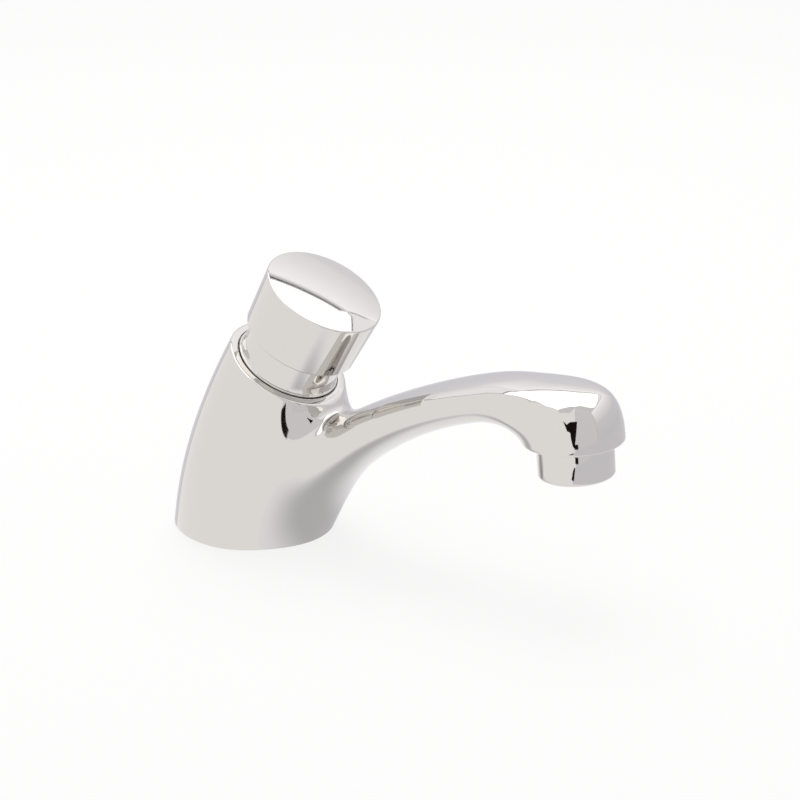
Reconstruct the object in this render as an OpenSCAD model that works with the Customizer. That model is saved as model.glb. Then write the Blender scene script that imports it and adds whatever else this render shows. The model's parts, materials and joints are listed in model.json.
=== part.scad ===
// Push timed tap: a self-closing pillar tap for a wash basin, with its timed valve and aerator.
// Millimetres. Origin in the middle of the foot, +Z up, +X along the spout.

/* [Body] */
// Foot outline, reach behind the origin
foot_back = 28.1; // [27:0.1:29]
// Body's own reach in front of the origin, before the spout's root fills it out
foot_front = 22.8; // [22:0.1:24]
// Foot outline, half width
foot_side = 26.3; // [25.5:0.1:27.5]
// Outer radius of the body's top rim
rim_r = 20.0; // [19.6:0.1:20.6]
// Middle of the top rim, in front of the origin
rim_x = 13.24; // [12.5:0.25:14]
// Middle of the top rim, height
rim_z = 58.33; // [57.5:0.25:59.5]
// Lean of the button's axis towards the spout, degrees
button_tilt = 28.6; // [27.5:0.1:29.5]
// Outward bow of the back, front and side walls half way up
back_bow = -2.1; // [-2.8:0.1:-1.4]
front_bow = 7.5; // [6.5:0.25:8.5]
side_bow = 4.2; // [3.2:0.1:4.8]
// Rounding where the spout leaves the body, at the foot and under the rim
root_round = 16.0; // [13:0.5:17]
root_top = 14.0; // [12:0.5:15]

/* [Spout] */
// Line that the arch's section planes turn about, in front of the origin
arch_x = 88.0; // [86:0.5:90]
// Underside of the arch over that line, on the way down, and at the foot
under_top = 54.0; // [53.5:0.1:54.5]
under_mid = 41.4; // [40.8:0.1:42]
under_foot = 64.9; // [64:0.1:65.5]
// Fall of the underside towards the head, per square millimetre
under_fall = 0.0215; // [0.02:0.0005:0.023]
// Upper side of the spout over that line, on the way down, and at the foot
upper_top = 68.1; // [67.5:0.1:69]
upper_mid = 53.0; // [52.5:0.1:53.8]
upper_foot = 95.2; // [94.2:0.2:96.2]
// Fall of the upper side towards the head, per square millimetre
upper_fall = 0.0065; // [0.006:0.0001:0.0075]
// Half width of the spout over that line, on the way down, at the foot and at the outlet
waist = 13.3; // [12.6:0.1:14]
waist_mid = 13.5; // [12.8:0.1:14.2]
waist_foot = 13.9; // [13.2:0.1:15]
waist_head = 12.7; // [12:0.1:13.6]
// Fullness of the spout's section, 2 is an ellipse
section_power = 2.2; // [2:0.1:2.5]

/* [Outlet head] */
// Middle of the outlet ring's mouth, in front of the origin
outlet_x = 119.9; // [118:0.5:121]
// Middle of the outlet ring's mouth, height
outlet_z = 42.0; // [41:0.25:43]
// Lean of the outlet, degrees
outlet_tilt = 4.75; // [3.5:0.25:6]
// Radius and height of the head's dome, its fullness and its draft in degrees
head_r = 16.0; // [15.5:0.1:16.5]
head_h = 16.6; // [16:0.1:17.5]
head_power = 3.4; // [3:0.1:3.6]
head_draft = 1.4; // [0.5:0.1:2.5]
// Rounding between spout and head
head_round = 8.5; // [7:0.25:9]
// How far before the outlet's axis the spout starts to close inside the head, and how softly
close_lead = 3.6; // [3:0.1:4.2]
close_round = 12.2; // [11:0.2:13.4]

/* [Push button] */
// Top edge of the button above the rim
button_h = 30.3; // [30:0.1:31.5]
// Length of the button's side
button_len = 19.9; // [19.5:0.1:20.2]
// Step from the neck out to the button's lower end, and from there out to its top edge
button_step = 2.4; // [2.2:0.1:2.7]
button_flare = 0.9; // [0.6:0.1:1.2]
// Rise of the button's domed top
crown = 1.3; // [0.8:0.1:2]
// How far the button goes down
travel = 7.0; // [5:0.25:7]

/* [Neck] */
// Radius of the neck's sleeve, and the step out to its foot
neck_r = 16.3; // [16.1:0.05:16.4]
neck_step = 0.75; // [0.5:0.05:0.9]
// Joint between the neck's foot and the body's rim
neck_gap = 0.35; // [0.2:0.05:0.5]

/* [Timed valve] */
// Radius of the spindle
spindle_r = 2.5; // [2.3:0.1:2.7]
// Radius of the timing cylinder
cylinder_r = 9.5; // [9.2:0.1:9.7]
// Outer radius of the cartridge and of its nose
cartridge_r = 12.9; // [12.7:0.1:13]
nose_r = 10.2; // [10:0.1:10.4]
// Radius of the seat's hole and of the valve washer
seat_r = 5.5; // [5:0.1:5.8]
washer_r = 7.6; // [7.2:0.1:7.8]
// Return spring: mean radius, wire radius and turns
spring_r = 6.8; // [6.4:0.1:7]
wire_r = 0.5; // [0.4:0.05:0.55]
spring_turns = 4.5; // [4:0.5:5]

/* [Outlet fittings] */
// Outer radius and height of the outlet ring
ring_r = 12.0; // [12:0.1:12.4]
ring_h = 10.9; // [10.6:0.1:11.2]
// Radius and length of the threaded nipple
nipple_r = 10.9; // [10.7:0.05:10.95]
nipple_len = 5.5; // [5:0.1:5.7]

/* [Under the foot] */
// Radius and depth of the hollow under the foot
hollow_r = 19.5; // [18.5:0.25:20]
hollow_h = 8.0; // [6.5:0.25:8.5]
// Inlet thread: place and core radius
inlet_x = -6.0; // [-6.5:0.25:-5]
inlet_r = 4.55; // [4.2:0.05:4.6]
// Length of the inlet thread
inlet_len = 6.5; // [5.5:0.25:6.5]
// Fixing stud thread: place, core radius and depth
stud_x = 11.0; // [10.5:0.25:12]
stud_r = 3.4; // [2.5:0.1:3.4]
stud_depth = 12.0; // [10:0.5:12]

/* [Hidden] */
$fn = 48;
// clearances: seated parts, sliding button, running spindle
seat_gap = 0.1;
slide_gap = 0.4;
run_gap = 0.1;

// levels along the button's axis, measured from the rim
button_low_h = button_h - button_len;
flare_h = button_low_h - travel - 0.4;
neck_top_h = button_low_h + 6.1;
plate_low_h = 5.0;
plate_top_h = 8.0;
shoulder_h = -9.7;
ledge_h = -14.0;
shoulder_seal_t = 1.5;
floor_top_h = -17.0;
floor_low_h = -19.5;
seat_top_h = -27.0;
seat_low_h = -30.0;
nose_end_h = -36.0;
piston_top_h = 1.2;
piston_low_h = -3.3;
cap_low_h = piston_top_h + 0.4;
cap_top_h = plate_low_h - 0.2;
clip_t = 0.8;
washer_t = 2.5;
holder_t = 1.5;
nut_t = 2.0;
washer_low_h = seat_low_h - washer_t;
holder_low_h = washer_low_h - holder_t;
nut_low_h = holder_low_h - nut_t;
spindle_low_h = nut_low_h - 0.5;
strainer_t = 0.8;
chamber_low_h = spindle_low_h - travel - 0.7 - strainer_t;
roof_h = button_h - 3.1;
boss_low_h = 19.0;
lock_t = 2.8;
spindle_top_h = roof_h - 1.7;
spring_top_h = piston_low_h;
spring_low_h = floor_top_h;

// radii that follow from the driving ones
button_low_r = neck_r + button_step;
button_r = button_low_r + button_flare;
neck_foot_r = neck_r + neck_step;
recess_r = neck_foot_r + neck_gap;
bore_r = neck_foot_r - 1.65;
spigot_r = bore_r - seat_gap;
neck_in_r = cartridge_r + 0.2;
gallery_r = bore_r - 0.3;
ledge_r = cartridge_r + 0.3;
chamber_r = nose_r + 0.3;
bush_r = spindle_r + 1.9;
boss_r = spindle_r + 3.3;
seal_wire = 0.83;
nose_seal_r = chamber_r - seal_wire - 0.02;
piston_r = cylinder_r - 0.3;
flange_r = spindle_r + 1.1;

// the bent cone's section planes turn about this line
pivot_x = rim_x + rim_z / tan(button_tilt);
rim_reach = rim_z / sin(button_tilt);

// slopes that carry the arch on past its line without a kink
spout_run = outlet_x - arch_x;
under_rise = -4 * (under_mid - under_top) / (PI * under_top);
upper_rise = -4 * (upper_mid - upper_top) / (PI * upper_top);
waist_rise = -4 * (waist_mid - waist) / (PI * under_top);

// the head's flat face and the outlet's axis
outlet_axis = [-sin(outlet_tilt), 0, cos(outlet_tilt)];
face_o = [outlet_x, 0, outlet_z] + ring_h * outlet_axis;

// foot ring, in the middle of the outline: the root's blend fills its front out by a sixth of its size
foot_mid_x = (foot_front + root_round / 6 - foot_back) / 2;
seal_in_r = hollow_r + 1.3;
seal_out_r = seal_in_r + 2.0;
seal_t = 2.0;

// water way: from the valve's gallery to the arch, then to the outlet
way_r = 3.6;
way_a = [9.0, 27.7];
way_b = [61.5, 50.6];
way_c = [arch_x + 2, (under_top + upper_top) / 2];
way_d = [outlet_x - 1, outlet_z + 19.5];

// grid of the skin, and a reach that lies outside every ring of the spout
ring_reach = 2.1 * head_r;
cols = 64;
half_win = 10;
rows = [0, 0.05, 0.11, 0.19, 0.28, 0.37, 0.46, 0.55, 0.64, 0.73, 0.81, 0.88, 0.94, 0.975, 1];
win_low = 1;
win_top = 13;
bridge = 3;
fan = 14;
fan_low = 72;
fan_top = 47.5;
run = 7;
nose_angles = [15, 30, 44, 57, 69, 80];

function clamp(v, a, b) = max(a, min(b, v));
function mix(a, b, t) = a + (b - a) * t;
function bend(a, b, c, t) = a * (1 - t) * (1 - t) + 2 * b * t * (1 - t) + c * t * t;
function smooth_min(a, b, k) =
    let (h = max(k - abs(a - b), 0) / k)
    min(a, b) - h * h * h * k / 6;

// radii of the body's section at height a (0 foot, 1 rim): back, front, side
function body_radii(a) =
    let (bow = 4 * a * (1 - a))
    [
        mix(foot_back, rim_r, a) + back_bow * bow,
        mix(foot_front, rim_r, a) + front_bow * bow,
        mix(foot_side, rim_r, a) + side_bow * bow
    ];

// how far up the body a point lies: 0 at the foot, 1 at the rim
function height_share(p) = atan2(p[2], pivot_x - p[0]) / button_tilt;

// rounding between body and spout at a point
function root_size(p) = mix(root_round, root_top, pow(clamp(height_share(p), 0, 1), 2));

// signed distance to the body's bent cone
function body_field(p) =
    let (
        dx = pivot_x - p[0],
        a = clamp(height_share(p), -0.3, 1.3),
        e = mix(pivot_x, rim_reach, a) - norm([dx, p[2]]),
        r = body_radii(a),
        ae = e > 0 ? r[1] : r[0]
    )
    (norm([e / ae, p[1] / r[2]]) - 1) * min(ae, r[2]) * 0.97;

// underside, upper side and half width of the spout, past the arch's line or before it
function spout_sizes(d, turn) =
    let (u = d / spout_run, t = turn / 90)
    d > 0
    ? [
        under_top + under_rise * d - under_fall * d * d,
        upper_top + upper_rise * d - upper_fall * d * d,
        waist + waist_rise * d + (waist_head - waist - waist_rise * spout_run) * u * u
    ]
    : [
        bend(under_top, under_mid, under_foot, t),
        bend(upper_top, upper_mid, upper_foot, t),
        bend(waist, waist_mid, waist_foot, t)
    ];

function spout_field(p) =
    let (
        dx = p[0] - arch_x,
        turn = dx >= 0 ? 0 : p[2] <= 0 ? 90 : atan2(-dx, p[2]),
        rho = dx >= 0 ? p[2] : norm([dx, p[2]]),
        s = spout_sizes(clamp(dx, 0, spout_run + 0.4 * head_r), turn),
        c = (s[0] + s[1]) / 2,
        h = (s[1] - s[0]) / 2,
        q = pow(abs(p[1]) / s[2], section_power) + pow(abs(rho - c) / h, section_power),
        f = (pow(q, 1 / section_power) - 1) * min(s[2], h),
        past = max(dx - spout_run + close_lead, 0)
    )
    f + past * past / (2 * close_round);

function head_field(p) =
    let (
        v = p - face_o,
        h = v * outlet_axis,
        rad = norm(v - h * outlet_axis),
        r = head_r - tan(head_draft) * clamp(h, -6, head_h),
        q = pow(rad / r, head_power) + pow(max(h, 0) / head_h, head_power),
        f = (pow(q, 1 / head_power) - 1) * min(r, head_h)
    )
    max(f, -h - 4);

// the whole casting's skin lies where this is zero
function skin(p) =
    smooth_min(
        smooth_min(body_field(p), spout_field(p), root_size(p)),
        head_field(p),
        head_round
    );

// from an inner point outwards to the skin, by halving
function cast(o, d, lo, hi, n) =
    let (m = (lo + hi) / 2)
    n == 0
    ? o + d * m
    : skin(o + d * m) < 0 ? cast(o, d, m, hi, n - 1) : cast(o, d, lo, m, n - 1);

// a point near the skin drawn onto it along the steepest way
function settle(p, n) =
    let (
        f = skin(p),
        s = 0.02,
        g = [skin(p + [s, 0, 0]) - f, skin(p + [0, s, 0]) - f, skin(p + [0, 0, s]) - f] / s
    )
    n == 0 ? p : settle(p - g * f / (g * g), n - 1);

// points on the skin between two of its points, each half way between its neighbours
function span(a, b, n) =
    let (m = settle((a + b) / 2, 5))
    n == 1 ? [m] : concat(span(a, m, n - 1), [m], span(m, b, n - 1));

function body_point(a, f) =
    let (
        th = a * button_tilt,
        reach = mix(pivot_x, rim_reach, a),
        o = [pivot_x - reach * cos(th), 0, reach * sin(th)],
        d = [cos(f) * cos(th), sin(f), -cos(f) * sin(th)],
        r = body_radii(a),
        g = 1 / norm([cos(f) / (cos(f) > 0 ? r[1] : r[0]), sin(f) / r[2]])
    )
    cast(o, d, g * 0.5, g * mix(1.6, 1.13, a), 18);

// a ring of the spout in the plane through two points of the middle plane
function spout_ring(b, t) =
    let (o = (b + t) / 2, n = (t - b) / norm(t - b))
    [
        for (m = [0:cols - 1])
        let (f = 360 * m / cols)
        cast(o, -cos(f) * n + [0, sin(f), 0], 0, ring_reach, 18)
    ];

function arch_point(rho, turn) = [arch_x - rho * sin(turn), 0, rho * cos(turn)];

// moves a point from the button's frame or the outlet's frame into the part's frame
module on_button_axis() {
    translate([rim_x, 0, rim_z])
    rotate([0, button_tilt, 0])
    children();
}

module on_outlet_axis() {
    translate(face_o)
    rotate([0, -outlet_tilt, 0])
    children();
}

// a turned piece between two heights
module ring(r_out, r_in, low, top) {
    translate([0, 0, low])
    difference() {
        cylinder(r = r_out, h = top - low);
        translate([0, 0, -1])
        cylinder(r = r_in, h = top - low + 2);
    }
}

// a round cut or rod between two points of the middle plane
module rod(a, b, r) {
    run_len = norm(b - a);
    translate([a[0], 0, a[1]])
    rotate([0, atan2(b[0] - a[0], b[1] - a[1]), 0])
    cylinder(r = r, h = run_len);
}

// the casting's outer form: body grid, a window in its front, and the spout's rings out of it
module casting_skin() {
    n_rows = len(rows);
    grid = [for (a = rows) for (j = [0:cols - 1]) body_point(a, 360 * j / cols)];
    loop = concat(
        [for (j = [0:half_win]) [win_low, j]],
        [for (i = [win_low + 1:win_top]) [i, half_win]],
        [for (j = [half_win - 1:-1:-half_win]) [win_top, j]],
        [for (i = [win_top - 1:-1:win_low]) [i, -half_win]],
        [for (j = [-half_win + 1:-1]) [win_low, j]]
    );
    loop_ids = [for (v = loop) v[0] * cols + (v[1] + cols) % cols];
    fan_rings = [
        for (k = [0:fan - 1])
        let (
            s = 1 - k / fan,
            lo = fan_low * s,
            up = fan_top * s,
            b = arch_point(spout_sizes(0, lo)[0], lo),
            t = arch_point(spout_sizes(0, up)[1], up)
        )
        spout_ring(b, t)
    ];
    run_rings = [
        for (k = [0:run])
        let (d = spout_run * k / run, s = spout_sizes(d, 0))
        spout_ring([arch_x + d, 0, s[0]], [arch_x + d, 0, s[1]])
    ];
    mouth = spout_sizes(spout_run, 0);
    core = [outlet_x, 0, (mouth[0] + mouth[1]) / 2];
    tip = cast(core, [1, 0, 0], 0, 30, 18);
    nose_rings = [
        for (f = nose_angles)
        let (x = mix(core[0], tip[0], sin(f)))
        spout_ring([x, 0, core[2] - 9], [x, 0, core[2] + 9])
    ];
    first = fan_rings[0];
    spans = [for (m = [0:cols - 1]) span(grid[loop_ids[m]], first[m], bridge)];
    bridge_rings = [for (k = [0:len(spans[0]) - 1]) [for (m = [0:cols - 1]) spans[m][k]]];
    rings = concat(bridge_rings, fan_rings, run_rings, nose_rings);
    n_rings = len(rings);
    ring_0 = n_rows * cols;
    points = concat(grid, [for (r = rings) for (p = r) p], [tip]);
    ids = concat(
        [loop_ids],
        [for (k = [0:n_rings - 1]) [for (m = [0:cols - 1]) ring_0 + k * cols + m]]
    );
    walls = [
        for (i = [0:n_rows - 2])
        for (j = [0:cols - 1])
        let (
            n = (j + 1) % cols,
            inside = i >= win_low && i < win_top && (j < half_win || j >= cols - half_win),
            a = i * cols + j,
            b = i * cols + n
        )
        if (!inside)
        each [[a, a + cols, b + cols], [a, b + cols, b]]
    ];
    tube = [
        for (k = [0:n_rings - 1])
        for (m = [0:cols - 1])
        let (n = (m + 1) % cols)
        each [
            [ids[k][m], ids[k + 1][m], ids[k + 1][n]],
            [ids[k][m], ids[k + 1][n], ids[k][n]]
        ]
    ];
    end = [for (m = [0:cols - 1]) [ids[n_rings][m], len(points) - 1, ids[n_rings][(m + 1) % cols]]];
    foot = [[for (j = [0:cols - 1]) j]];
    top = [[for (j = [cols - 1:-1:0]) (n_rows - 1) * cols + j]];
    polyhedron(points, concat(walls, tube, end, foot, top), convexity = 10);
}

// the cast body with spout, head and outlet nipple
module tap_body() {
    color("#c9ccd0")
    difference() {
        union() {
            difference() {
                casting_skin();
                on_outlet_axis()
                translate([0, 0, -2 * head_r])
                cylinder(r = 1.5 * head_r, h = 2 * head_r);
            }
            on_outlet_axis()
            translate([0, 0, -nipple_len])
            cylinder(r = nipple_r, h = nipple_len + 2);
        }
        // stepped bore for the neck and the cartridge
        on_button_axis()
        rotate_extrude()
        polygon([
            [0, 5], [recess_r, 5], [recess_r, -1.5], [bore_r, -1.5], [bore_r, ledge_h],
            [ledge_r, ledge_h], [ledge_r, floor_top_h], [gallery_r, floor_top_h],
            [gallery_r, seat_top_h], [chamber_r, seat_top_h], [chamber_r, chamber_low_h],
            [0, chamber_low_h]
        ]);
        // hollow of the foot with the seal's groove, inlet and stud threads
        translate([foot_mid_x, 0, -1])
        cylinder(r = hollow_r, h = hollow_h + 1);
        translate([foot_mid_x, 0, 0])
        ring(seal_out_r + seat_gap, seal_in_r - seat_gap, -1, seal_t + seat_gap);
        rod([inlet_x, 0], [inlet_x, hollow_h + inlet_len], inlet_r);
        rod([inlet_x, 0], [inlet_x, hollow_h + 13], inlet_r - 1.1);
        rod([stud_x, 0], [stud_x, hollow_h + stud_depth], stud_r);
        // water way and outlet chamber
        rod(way_a, way_b, way_r);
        rod(way_b, way_c, way_r);
        rod(way_c, way_d, way_r);
        for (p = [way_b, way_c])
        translate([p[0], 0, p[1]])
        sphere(r = way_r + 0.3);
        on_outlet_axis()
        translate([0, 0, -nipple_len - 1])
        cylinder(r = nipple_r - 2.1, h = nipple_len + 10);
    }
}

// rubber ring in the foot's groove
module base_seal() {
    color("#2b2b2b")
    translate([foot_mid_x, 0, 0])
    ring(seal_out_r, seal_in_r, 0, seal_t);
}

// chromed sleeve that screws into the body, holds the cartridge down and guides the button
module neck_bezel() {
    bush_hole_r = bush_r + seat_gap;
    color("#d5d8db")
    on_button_axis()
    rotate_extrude()
    difference() {
        union() {
            polygon([
                [0, shoulder_h], [spigot_r, shoulder_h], [spigot_r, -1.5], [neck_foot_r, -1.5],
                [neck_foot_r, 0.35], [neck_foot_r - 0.35, 0.7],
                [neck_r, 0.7], [neck_r, neck_top_h - 0.6], [neck_r - 0.6, neck_top_h],
                [0, neck_top_h]
            ]);
            // hollow flare from the foot to the sleeve
            difference() {
                translate([neck_r - 0.5, 0])
                square([neck_foot_r - 0.35 - neck_r + 0.5, flare_h]);
                translate([neck_foot_r - 0.35, flare_h])
                scale([(neck_foot_r - 0.35 - neck_r) / (flare_h - 0.7), 1])
                circle(r = flare_h - 0.7);
            }
        }
        translate([-1, shoulder_h - 1])
        square([neck_in_r + 1, plate_low_h - shoulder_h + 1]);
        translate([-1, plate_top_h])
        square([neck_r - 2.3 + 1, neck_top_h]);
        translate([-1, 0])
        square([bush_hole_r + 1, neck_top_h]);
    }
}

// brass sleeve with timing cylinder, outlet windows, seat and nose
module cartridge_body() {
    color("#c9a24a")
    on_button_axis()
    difference() {
        rotate_extrude()
        polygon([
            [cylinder_r, cap_top_h], [cartridge_r, cap_top_h], [cartridge_r, shoulder_h],
            [bore_r - 0.5, shoulder_h], [bore_r - 0.5, ledge_h + shoulder_seal_t],
            [cartridge_r, ledge_h + shoulder_seal_t], [cartridge_r, seat_top_h],
            [nose_r, seat_top_h], [nose_r, seat_top_h - 0.5],
            [nose_seal_r - seal_wire - 0.02, seat_top_h - 0.5],
            [nose_seal_r - seal_wire - 0.02, seat_low_h + 0.6], [nose_r, seat_low_h + 0.6],
            [nose_r, nose_end_h], [nose_r - 1, nose_end_h], [nose_r - 1, seat_low_h],
            [seat_r, seat_low_h], [seat_r, seat_top_h], [cylinder_r, seat_top_h],
            [cylinder_r, floor_low_h], [spindle_r + 0.5, floor_low_h],
            [spindle_r + 0.5, floor_top_h], [cylinder_r, floor_top_h]
        ]);
        for (a = [0:60:300])
        rotate([0, 0, a])
        translate([cartridge_r - 5, -3, seat_top_h + 1])
        cube([10, 6, floor_low_h - seat_top_h - 2]);
    }
}

// lid of the timing cylinder with the gland's groove
module cartridge_cap() {
    color("#e7e4da")
    on_button_axis()
    rotate_extrude()
    polygon([
        [spindle_r + 0.15, cap_low_h], [cylinder_r - seat_gap, cap_low_h],
        [cylinder_r - seat_gap, cap_top_h], [spindle_r + 0.15, cap_top_h],
        [spindle_r + 0.15, cap_top_h - 0.7], [spindle_r + 1.8, cap_top_h - 0.7],
        [spindle_r + 1.8, cap_low_h + 0.7], [spindle_r + 0.15, cap_low_h + 0.7]
    ]);
}

// o-ring between spindle and lid
module gland_seal() {
    color("#2b2b2b")
    on_button_axis()
    translate([0, 0, (cap_low_h + cap_top_h) / 2])
    rotate_extrude()
    translate([spindle_r + 0.05 + 0.8, 0])
    circle(r = 0.8, $fn = 24);
}

// bush that guides the spindle in the neck's plate
module guide_bush() {
    color("#e7e4da")
    on_button_axis()
    rotate_extrude()
    polygon([
        [spindle_r + run_gap, plate_low_h], [bush_r, plate_low_h], [bush_r, plate_top_h],
        [bush_r + 1.2, plate_top_h], [bush_r + 1.2, plate_top_h + 0.7],
        [spindle_r + run_gap, plate_top_h + 0.7]
    ]);
}

// flat ring under the cartridge's shoulder
module shoulder_seal() {
    color("#2b2b2b")
    on_button_axis()
    ring(bore_r - 0.2, cartridge_r + 0.15, ledge_h, ledge_h + shoulder_seal_t);
}

// o-ring between the cartridge's nose and the body
module nose_seal() {
    color("#2b2b2b")
    on_button_axis()
    translate([0, 0, (seat_top_h - 0.5 + seat_low_h + 0.6) / 2])
    rotate_extrude()
    translate([nose_seal_r, 0])
    circle(r = seal_wire, $fn = 24);
}

// pierced disc on the floor of the inlet chamber
module inlet_strainer() {
    color("#b8bcc0")
    on_button_axis()
    translate([0, 0, chamber_low_h])
    difference() {
        cylinder(r = chamber_r - seat_gap, h = strainer_t);
        for (k = [1:3])
        for (a = [0:60 / k:359])
        rotate([0, 0, a])
        translate([k * 2.7, 0, -1])
        cylinder(r = 0.7, h = strainer_t + 2, $fn = 16);
        translate([0, 0, -1])
        cylinder(r = 0.7, h = strainer_t + 2, $fn = 16);
    }
}

// coil between the cartridge's floor and the piston, one tube along a formula
module return_spring() {
    sides = 6;
    steps = round(spring_turns * 12);
    low = spring_low_h + wire_r + 0.05;
    rise = spring_top_h - spring_low_h - 2 * wire_r - 0.1;
    pitch = rise / spring_turns;
    lean = atan(pitch / (2 * PI * spring_r));
    echo(spring_gap = pitch * cos(lean) - 2 * wire_r);
    points = [
        for (i = [0:steps])
        let (a = 360 * spring_turns * i / steps)
        for (k = [0:sides - 1])
        let (
            f = 360 * k / sides,
            u = wire_r * cos(f),
            v = wire_r * sin(f)
        )
        [
            (spring_r + u) * cos(a) + v * sin(lean) * sin(a),
            (spring_r + u) * sin(a) - v * sin(lean) * cos(a),
            low + rise * i / steps + v * cos(lean)
        ]
    ];
    walls = [
        for (i = [0:steps - 1])
        for (k = [0:sides - 1])
        let (n = (k + 1) % sides, a = i * sides, b = a + sides)
        each [[a + k, b + n, b + k], [a + k, a + n, b + n]]
    ];
    first = [[for (k = [sides - 1:-1:0]) k]];
    last = [[for (k = [0:sides - 1]) steps * sides + k]];
    color("#9aa0a6")
    on_button_axis()
    polyhedron(points, concat(walls, first, last), convexity = 10);
}

// chromed cap on the outlet's nipple
module aerator_ring() {
    fillet = 1.25;
    color("#d5d8db")
    on_outlet_axis()
    rotate_extrude()
    difference() {
        union() {
            translate([0, -ring_h + fillet])
            square([ring_r, ring_h - fillet - 0.3]);
            translate([0, -ring_h])
            square([ring_r - fillet, fillet + 1]);
            translate([ring_r - fillet, -ring_h + fillet])
            circle(r = fillet);
        }
        translate([-1, -nipple_len - 1.4])
        square([nipple_r + seat_gap + 1, nipple_len + 3]);
        translate([-1, -ring_h + 1.2])
        square([nipple_r - 0.6 + 1, ring_h]);
        translate([-1, -ring_h - 1])
        square([nipple_r - 2.2 + 1, ring_h]);
    }
}

// rubber ring between nipple and insert
module aerator_washer() {
    color("#2b2b2b")
    on_outlet_axis()
    ring(nipple_r - 0.1, nipple_r - 2.0, -nipple_len - 1.4, -nipple_len);
}

// grid of the outlet
module aerator_insert() {
    top = -nipple_len - 1.4;
    low = -ring_h + 1.2;
    grid_r = nipple_r - 2.3;
    color("#d9dadb")
    on_outlet_axis()
    difference() {
        union() {
            translate([0, 0, low])
            cylinder(r = nipple_r - 0.7, h = top - low);
            translate([0, 0, -ring_h + 0.4])
            cylinder(r = grid_r, h = 1.5);
        }
        translate([0, 0, low + 0.6])
        cylinder(r = grid_r, h = 10);
        for (x = [-3:3])
        for (y = [-3:3])
        if (norm([x, y]) * 2.3 < grid_r - 1.3)
        translate([x * 2.3 - 0.85, y * 2.3 - 0.85, -ring_h - 1])
        cube([1.7, 1.7, 10]);
    }
}

// metering disc over the grid
module flow_regulator() {
    low = -ring_h + 1.8;
    color("#3f7f5a")
    on_outlet_axis()
    difference() {
        translate([0, 0, low])
        cylinder(r = nipple_r - 2.4, h = 0.8);
        for (a = [0:45:315])
        rotate([0, 0, a])
        translate([4.6, 0, low - 1])
        cylinder(r = 1.1, h = 3, $fn = 24);
    }
}

// fine strainer over the metering disc
module aerator_screen() {
    low = -ring_h + 2.6;
    color("#b8bcc0")
    on_outlet_axis()
    difference() {
        translate([0, 0, low])
        cylinder(r = nipple_r - 2.4, h = 0.4);
        for (k = [1:3])
        for (a = [0:60 / k:359])
        rotate([0, 0, a])
        translate([k * 2.3, 0, low - 1])
        cylinder(r = 0.6, h = 3, $fn = 16);
    }
}

// chromed button with domed top, thick skirt and boss for the spindle
module push_button() {
    edge = 0.6;
    fillet = button_low_r - neck_r - slide_gap - 0.1;
    in_r = neck_r + slide_gap;
    dome_r = (pow(button_r - edge, 2) + crown * crown) / (2 * crown);
    color("#d5d8db")
    on_button_axis()
    rotate_extrude()
    difference() {
        union() {
            // side with a rounded lower end
            polygon([
                [0, button_low_h], [button_low_r - fillet, button_low_h],
                for (f = [15:15:90])
                [
                    button_low_r - fillet + fillet * sin(f),
                    button_low_h + fillet - fillet * cos(f)
                ],
                [button_r, button_h - edge],
                for (f = [15:15:90])
                [button_r - edge + edge * cos(f), button_h - edge + edge * sin(f)],
                [0, button_h]
            ]);
            intersection() {
                translate([0, button_h + crown - dome_r])
                circle(r = dome_r, $fn = 720);
                translate([0, button_h - 1])
                square([button_r - edge, 1 + crown + 1]);
            }
        }
        difference() {
            translate([-1, button_low_h - 1])
            square([in_r + 1, roof_h - button_low_h + 1]);
            translate([-1, boss_low_h])
            square([boss_r + 1, roof_h]);
        }
        translate([-1, boss_low_h - 1])
        square([spindle_r + seat_gap + 1, spindle_top_h + 0.2 - boss_low_h + 1]);
    }
}

// hexagon nut that locks the spindle in the button
module lock_nut() {
    color("#c9a24a")
    on_button_axis()
    translate([0, 0, boss_low_h - lock_t])
    difference() {
        cylinder(r = 5, h = lock_t, $fn = 6);
        translate([0, 0, -1])
        cylinder(r = spindle_r + seat_gap, h = lock_t + 2);
    }
}

// rod from the button to the valve
module spindle() {
    color("#b8bcc0")
    on_button_axis()
    rotate_extrude()
    polygon([
        [0, spindle_low_h], [spindle_r, spindle_low_h],
        [spindle_r, piston_low_h - clip_t - 0.05], [spindle_r - 0.5, piston_low_h - clip_t - 0.05],
        [spindle_r - 0.5, piston_low_h], [spindle_r, piston_low_h],
        [spindle_r, piston_top_h - 1.2], [flange_r, piston_top_h - 1.2], [flange_r, piston_top_h],
        [spindle_r, piston_top_h], [spindle_r, spindle_top_h - 0.4],
        [spindle_r - 0.4, spindle_top_h], [0, spindle_top_h]
    ]);
}

// piston of the timing cylinder
module timing_piston() {
    color("#e7e4da")
    on_button_axis()
    rotate_extrude()
    polygon([
        [spindle_r + seat_gap, piston_low_h], [piston_r, piston_low_h], [piston_r, -1.9],
        [piston_r - 2.2, -1.9], [piston_r - 2.2, 0.2], [piston_r, 0.2], [piston_r, piston_top_h],
        [flange_r + 0.2, piston_top_h], [flange_r + 0.2, piston_top_h - 1.2],
        [spindle_r + seat_gap, piston_top_h - 1.2]
    ]);
}

// cup seal in the piston's groove
module lip_seal() {
    in_r = piston_r - 2.1;
    out_r = cylinder_r - 0.06;
    color("#2b2b2b")
    on_button_axis()
    rotate_extrude()
    polygon([
        [in_r, -1.8], [out_r - 0.35, -1.8], [out_r, 0.1], [out_r - 0.7, 0.1],
        [out_r - 1.0, -0.8], [in_r + 0.6, -0.8], [in_r + 0.5, 0.1], [in_r, 0.1]
    ]);
}

// open clip under the piston
module piston_clip() {
    color("#b8bcc0")
    on_button_axis()
    difference() {
        ring(spindle_r + 1.7, spindle_r - 0.4, piston_low_h - clip_t, piston_low_h);
        translate([0, -1.2, piston_low_h - clip_t - 1])
        cube([10, 2.4, 4]);
    }
}

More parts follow.
